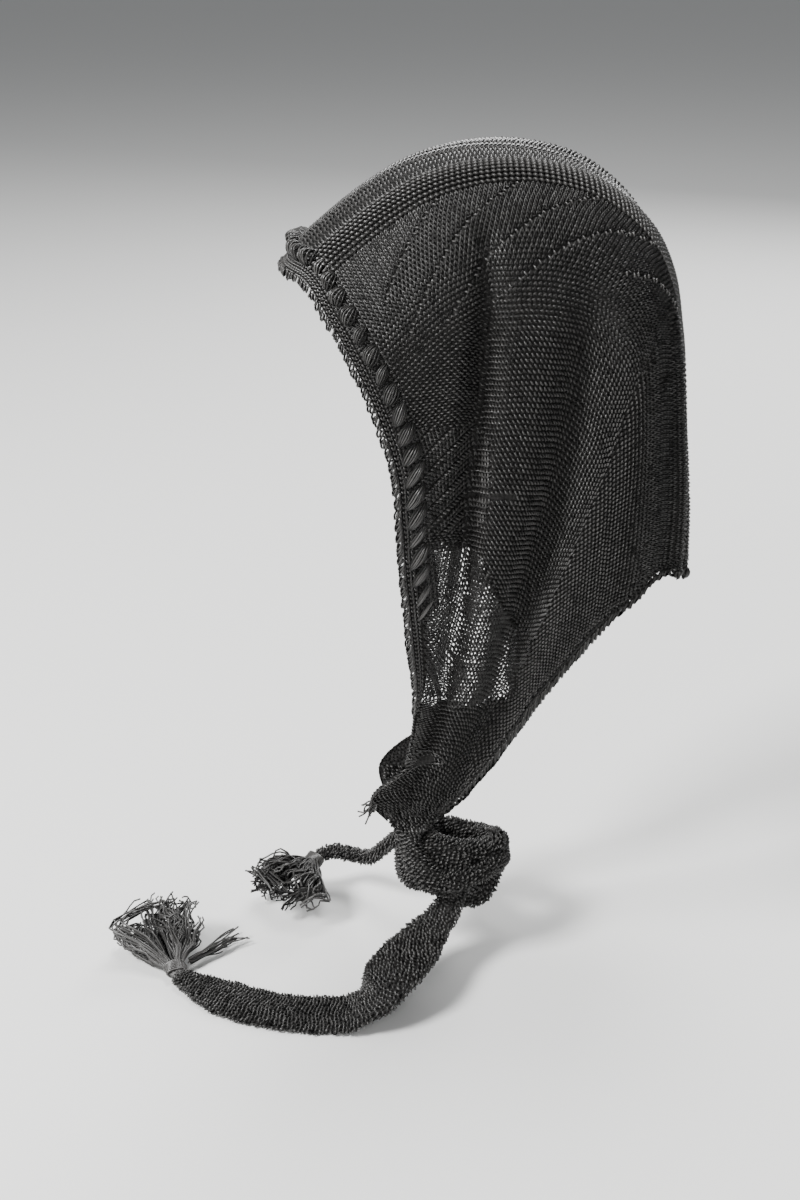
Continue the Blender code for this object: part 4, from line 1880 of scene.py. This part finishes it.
@dataclass(frozen=True)
class GroundFinish:
    """The yarn behind the stitches: the yarn's colour on small bumps where it shows on the inside, and
    black painted shade in the gaps between them.

    Attributes:
        name: the material's name.
        rough: its roughness.
        shine: its specular level.
        bumps: how many bumps there are to a metre.
        scatter: how unevenly they lie, from 0 to 1.
        height: their height in metres.
        tones: the bumps' colour and the painted shade of the gaps.
    """

    name: str
    rough: float = 0.75
    shine: float = 0.2
    bumps: float = 440
    scatter: float = 0.55
    height: float = 0.0012
    tones: tuple = ((0.020, 0.019, 0.018), (0.001, 0.001, 0.001))

    def build(self) -> Material:
        """Return the material."""
        material, shader = new_material(self.name, self.rough)
        shader.inputs["Specular IOR Level"].default_value = self.shine
        tree = material.node_tree
        place = tree.nodes.new("ShaderNodeTexCoord")
        cells = tree.nodes.new("ShaderNodeTexVoronoi")
        cells.inputs["Scale"].default_value = self.bumps
        cells.inputs["Randomness"].default_value = self.scatter
        tree.links.new(place.outputs["Object"], cells.inputs["Vector"])
        distance = cells.outputs["Distance"]
        # Painted shade: the colour falls to black in the gaps between the bumps.
        tree.links.new(colour_mix(tree, distance, self.tones), shader.inputs["Base Color"])
        tree.links.new(bumped(tree, distance, -1.0, self.height), shader.inputs["Normal"])
        return material


def fibre_group() -> Tree:
    """Return the shared node group that gives yarn its uneven dye, its painted light and shade, its shine
    and its fibres.

    The shade is the mean of a coarse and a fine noise, scaled, times the painted light and shade held in
    the attribute raised, which follows how far the yarn stands out.
    The shine rises in a straight line with the shade, so it too is lower where the yarn is sunk: painted
    shade on the reflection.
    """
    name = "yarn_fibre"
    if name in bpy.data.node_groups:
        return bpy.data.node_groups[name]
    tree = bpy.data.node_groups.new(name, "ShaderNodeTree")
    tree.interface.new_socket("Shade", in_out="OUTPUT", socket_type="NodeSocketFloat")
    tree.interface.new_socket("Shine", in_out="OUTPUT", socket_type="NodeSocketFloat")
    tree.interface.new_socket("Normal", in_out="OUTPUT", socket_type="NodeSocketVector")
    place = tree.nodes.new("ShaderNodeTexCoord")
    blend = tree.nodes.new("ShaderNodeMix")
    blend.inputs["Factor"].default_value = 0.5
    noise = {}
    for socket, scale in (("A", DYE_SCALE), ("B", FIBRE_SCALE)):
        noise[socket] = tree.nodes.new("ShaderNodeTexNoise")
        noise[socket].inputs["Scale"].default_value = scale
        tree.links.new(place.outputs["Object"], noise[socket].inputs["Vector"])
        tree.links.new(noise[socket].outputs["Fac"], blend.inputs[socket])
    # Painted light and shade: the attribute raised scales the colour, darker where the yarn is sunk.
    raised = tree.nodes.new("ShaderNodeAttribute")
    raised.attribute_name = "raised"
    shade = tree.nodes.new("ShaderNodeMath")
    shade.operation = "MULTIPLY"
    tree.links.new(scaled(tree, blend.outputs["Result"], 0.7, 0.5), shade.inputs[0])
    tree.links.new(raised.outputs["Fac"], shade.inputs[1])
    out = tree.nodes.new("NodeGroupOutput")
    tree.links.new(shade.outputs["Value"], out.inputs["Shade"])
    # The shine follows the painted shade, lower where the yarn is sunk.
    tree.links.new(scaled(tree, shade.outputs["Value"], 0.85, 0.02), out.inputs["Shine"])
    tree.links.new(bumped(tree, noise["B"].outputs["Fac"], 0.35, 0.0003), out.inputs["Normal"])
    return tree


@dataclass(frozen=True)
class Studio:
    """Pale floor, soft lights and the camera.

    Attributes:
        sky: the colour of the even light from all round.
        sky_power: its strength.
        floor: the floor's colour.
        floor_size: half of the floor's width in millimetres.
    """

    sky: tuple = (0.86, 0.88, 0.90, 1)
    sky_power: float = 0.31
    floor: tuple = (0.72, 0.72, 0.71, 1)
    floor_size: float = 40000.0

    def build(self) -> None:
        """Set the stage."""
        self._floor()
        for name, place, size, power in LIGHTS:
            self._light(name, place, size, power)
        world = bpy.data.worlds.new("studio")
        world.use_nodes = True
        background = world.node_tree.nodes["Background"]
        background.inputs["Color"].default_value = self.sky
        background.inputs["Strength"].default_value = self.sky_power
        bpy.context.scene.world = world
        camera = bpy.data.objects.new("camera", bpy.data.cameras.new("camera"))
        camera.data.lens = CAMERA_LENS
        camera.location = CAMERA_PLACE
        camera.rotation_euler = (math.radians(90 - CAMERA_PITCH), 0, math.radians(90))
        bpy.context.scene.collection.objects.link(camera)
        bpy.context.scene.camera = camera

    def _floor(self) -> None:
        """Make the floor the knot and ties lie on: one square of four corners."""
        size = self.floor_size
        corners = np.array([(-size, -size), (size, -size), (size, size), (-size, size)])
        points = np.column_stack([corners, np.full(4, FLOOR_Z - 0.2)])
        material, shader = new_material("floor", 0.8)
        shader.inputs["Base Color"].default_value = self.floor
        make_mesh("floor", points, np.array([[0, 1, 2, 3]]), material)

    def _light(self, name: str, place: tuple, size: float, power: float) -> None:
        """Add one square soft light that faces the bonnet.

        Args:
            name: the light's name.
            place: where it stands, in metres.
            size: its side in metres.
            power: its power in watts.
        """
        data = bpy.data.lights.new(name, "AREA")
        data.shape = "SQUARE"
        data.size = size
        data.energy = power
        light = bpy.data.objects.new(name, data)
        light.location = place
        away = Vector(place) - Vector(BONNET_MIDDLE)
        light.rotation_euler = away.to_track_quat("Z", "Y").to_euler()
        bpy.context.scene.collection.objects.link(light)


def attach(pieces: list[Object], slot: str, *nodes: str) -> None:
    """Let pieces ride on the body; the first stands for solids of the frame, which it hides.

    Args:
        pieces: the objects.
        slot: the material slot's name; not used.
        nodes: the names of the solids.
    """
    for number, piece in enumerate(pieces):
        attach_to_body(piece, "root")
        if number == 0:
            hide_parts(*nodes)


def add_trims(yarn: Material, ground: Material, face: EdgeStrip, hem: EdgeStrip, rng: Rng) -> None:
    """Build the braid and the two edgings, each over its dark layer.

    Args:
        yarn: the trims' finish.
        ground: the dark layers' finish.
        face: the cloth beside the face edge.
        hem: the cloth beside the hem.
        rng: the source of the small differences between stitches.
    """
    first = PICOT_WIDTH + GAP
    braid = Braid(face, yarn, rng).build()
    picot = Edging(
        name="face_edging_yarn",
        strip=face,
        width=PICOT_WIDTH,
        pitch=6.6,
        loops=3,
        stout=0.68,
        out=0.0,
        bright=1.0,
        yarn=yarn,
        rng=rng,
    ).build()
    scallops = Edging(
        name="hem_edging_yarn",
        strip=hem,
        width=HEM_WIDTH,
        pitch=7.4,
        loops=2,
        stout=1.1,
        out=1.7,
        # The hem's loops take less painted light than the face edging's.
        bright=0.55,
        yarn=yarn,
        rng=rng,
    ).build()
    braid_inner = trim_layer("braid_inner", face, first - 2, first + BRAID_WIDTH - 2, ground, BRAID_ENDS_AT)
    picot_inner = trim_layer("face_edging_inner", face, 3.0, first + 2.2, ground)
    hem_inner = trim_layer("hem_edging_inner", hem, 1.6, HEM_WIDTH + 1, ground)
    attach([braid, braid_inner], "trim_yarn", "front_braid")
    attach([picot, picot_inner], "trim_yarn", "face_edging")
    attach([scallops, hem_inner], "trim_yarn", "hem_edging")


def add_ties(yarn: Material, ground: Material, rng: Rng) -> None:
    """Build the ties with their tassels.

    Args:
        yarn: the ties' finish.
        ground: the dark layers' finish.
        rng: the source of the small differences between stitches.
    """
    left = Tie("tie_left", TIE_LEFT, yarn, ground)
    right = Tie("tie_right", TIE_RIGHT, yarn, ground)
    lock = loose_ends("stray_lock", STRAY_LOCK, LOOSE_THREADS, yarn, rng)
    for tie, width, ends in ((left, 36.0, TASSEL_LEFT), (right, 10.0, TASSEL_RIGHT)):
        tassel_name = tie.name.replace("tie", "tassel")
        knitted, inner = tie.build(rng)
        tassel = Tassel(tassel_name, *ends, yarn).build(rng)
        attach([knitted, inner], "tie_yarn", tie.name)
        attach([tassel, lock] if tie is left else [tassel], "tie_yarn", tassel_name)
        line = tie.centre_line()


def main() -> None:
    """Build the bonnet in the order it is made."""
    logging.basicConfig(level=logging.INFO, format="%(message)s")
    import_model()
    rng = np.random.default_rng(7)
    hood_yarn = YarnFinish("hood_yarn_finish", Tone.HOOD).build()
    trim_yarn = YarnFinish("trim_yarn_finish", Tone.TRIM).build()
    tie_yarn = YarnFinish("tie_yarn_finish", Tone.TIE).build()
    ground = GroundFinish("ground_finish").build()

    face = EdgeStrip.beside(0, PICOT_WIDTH + GAP + BRAID_WIDTH + 2)
    hem = EdgeStrip.beside(1, HEM_WIDTH + 2)
    hood = Hood(hood_yarn, ground, rng)
    hood.build()
    hood.edge_rows(face)
    hood.edge_rows(hem)
    hood.made.append(loose_ends("lappet_fray", LAPPET_FRAY, LOOSE_THREADS, hood_yarn, rng))
    attach(hood.made, "hood_yarn", "hood")
    add_trims(trim_yarn, ground, face, hem, rng)
    attach(Knot(tie_yarn, ground).build(rng), "tie_yarn", "knot")
    add_ties(tie_yarn, ground, rng)

    Studio().build()


if __name__ == "__main__":
    main()
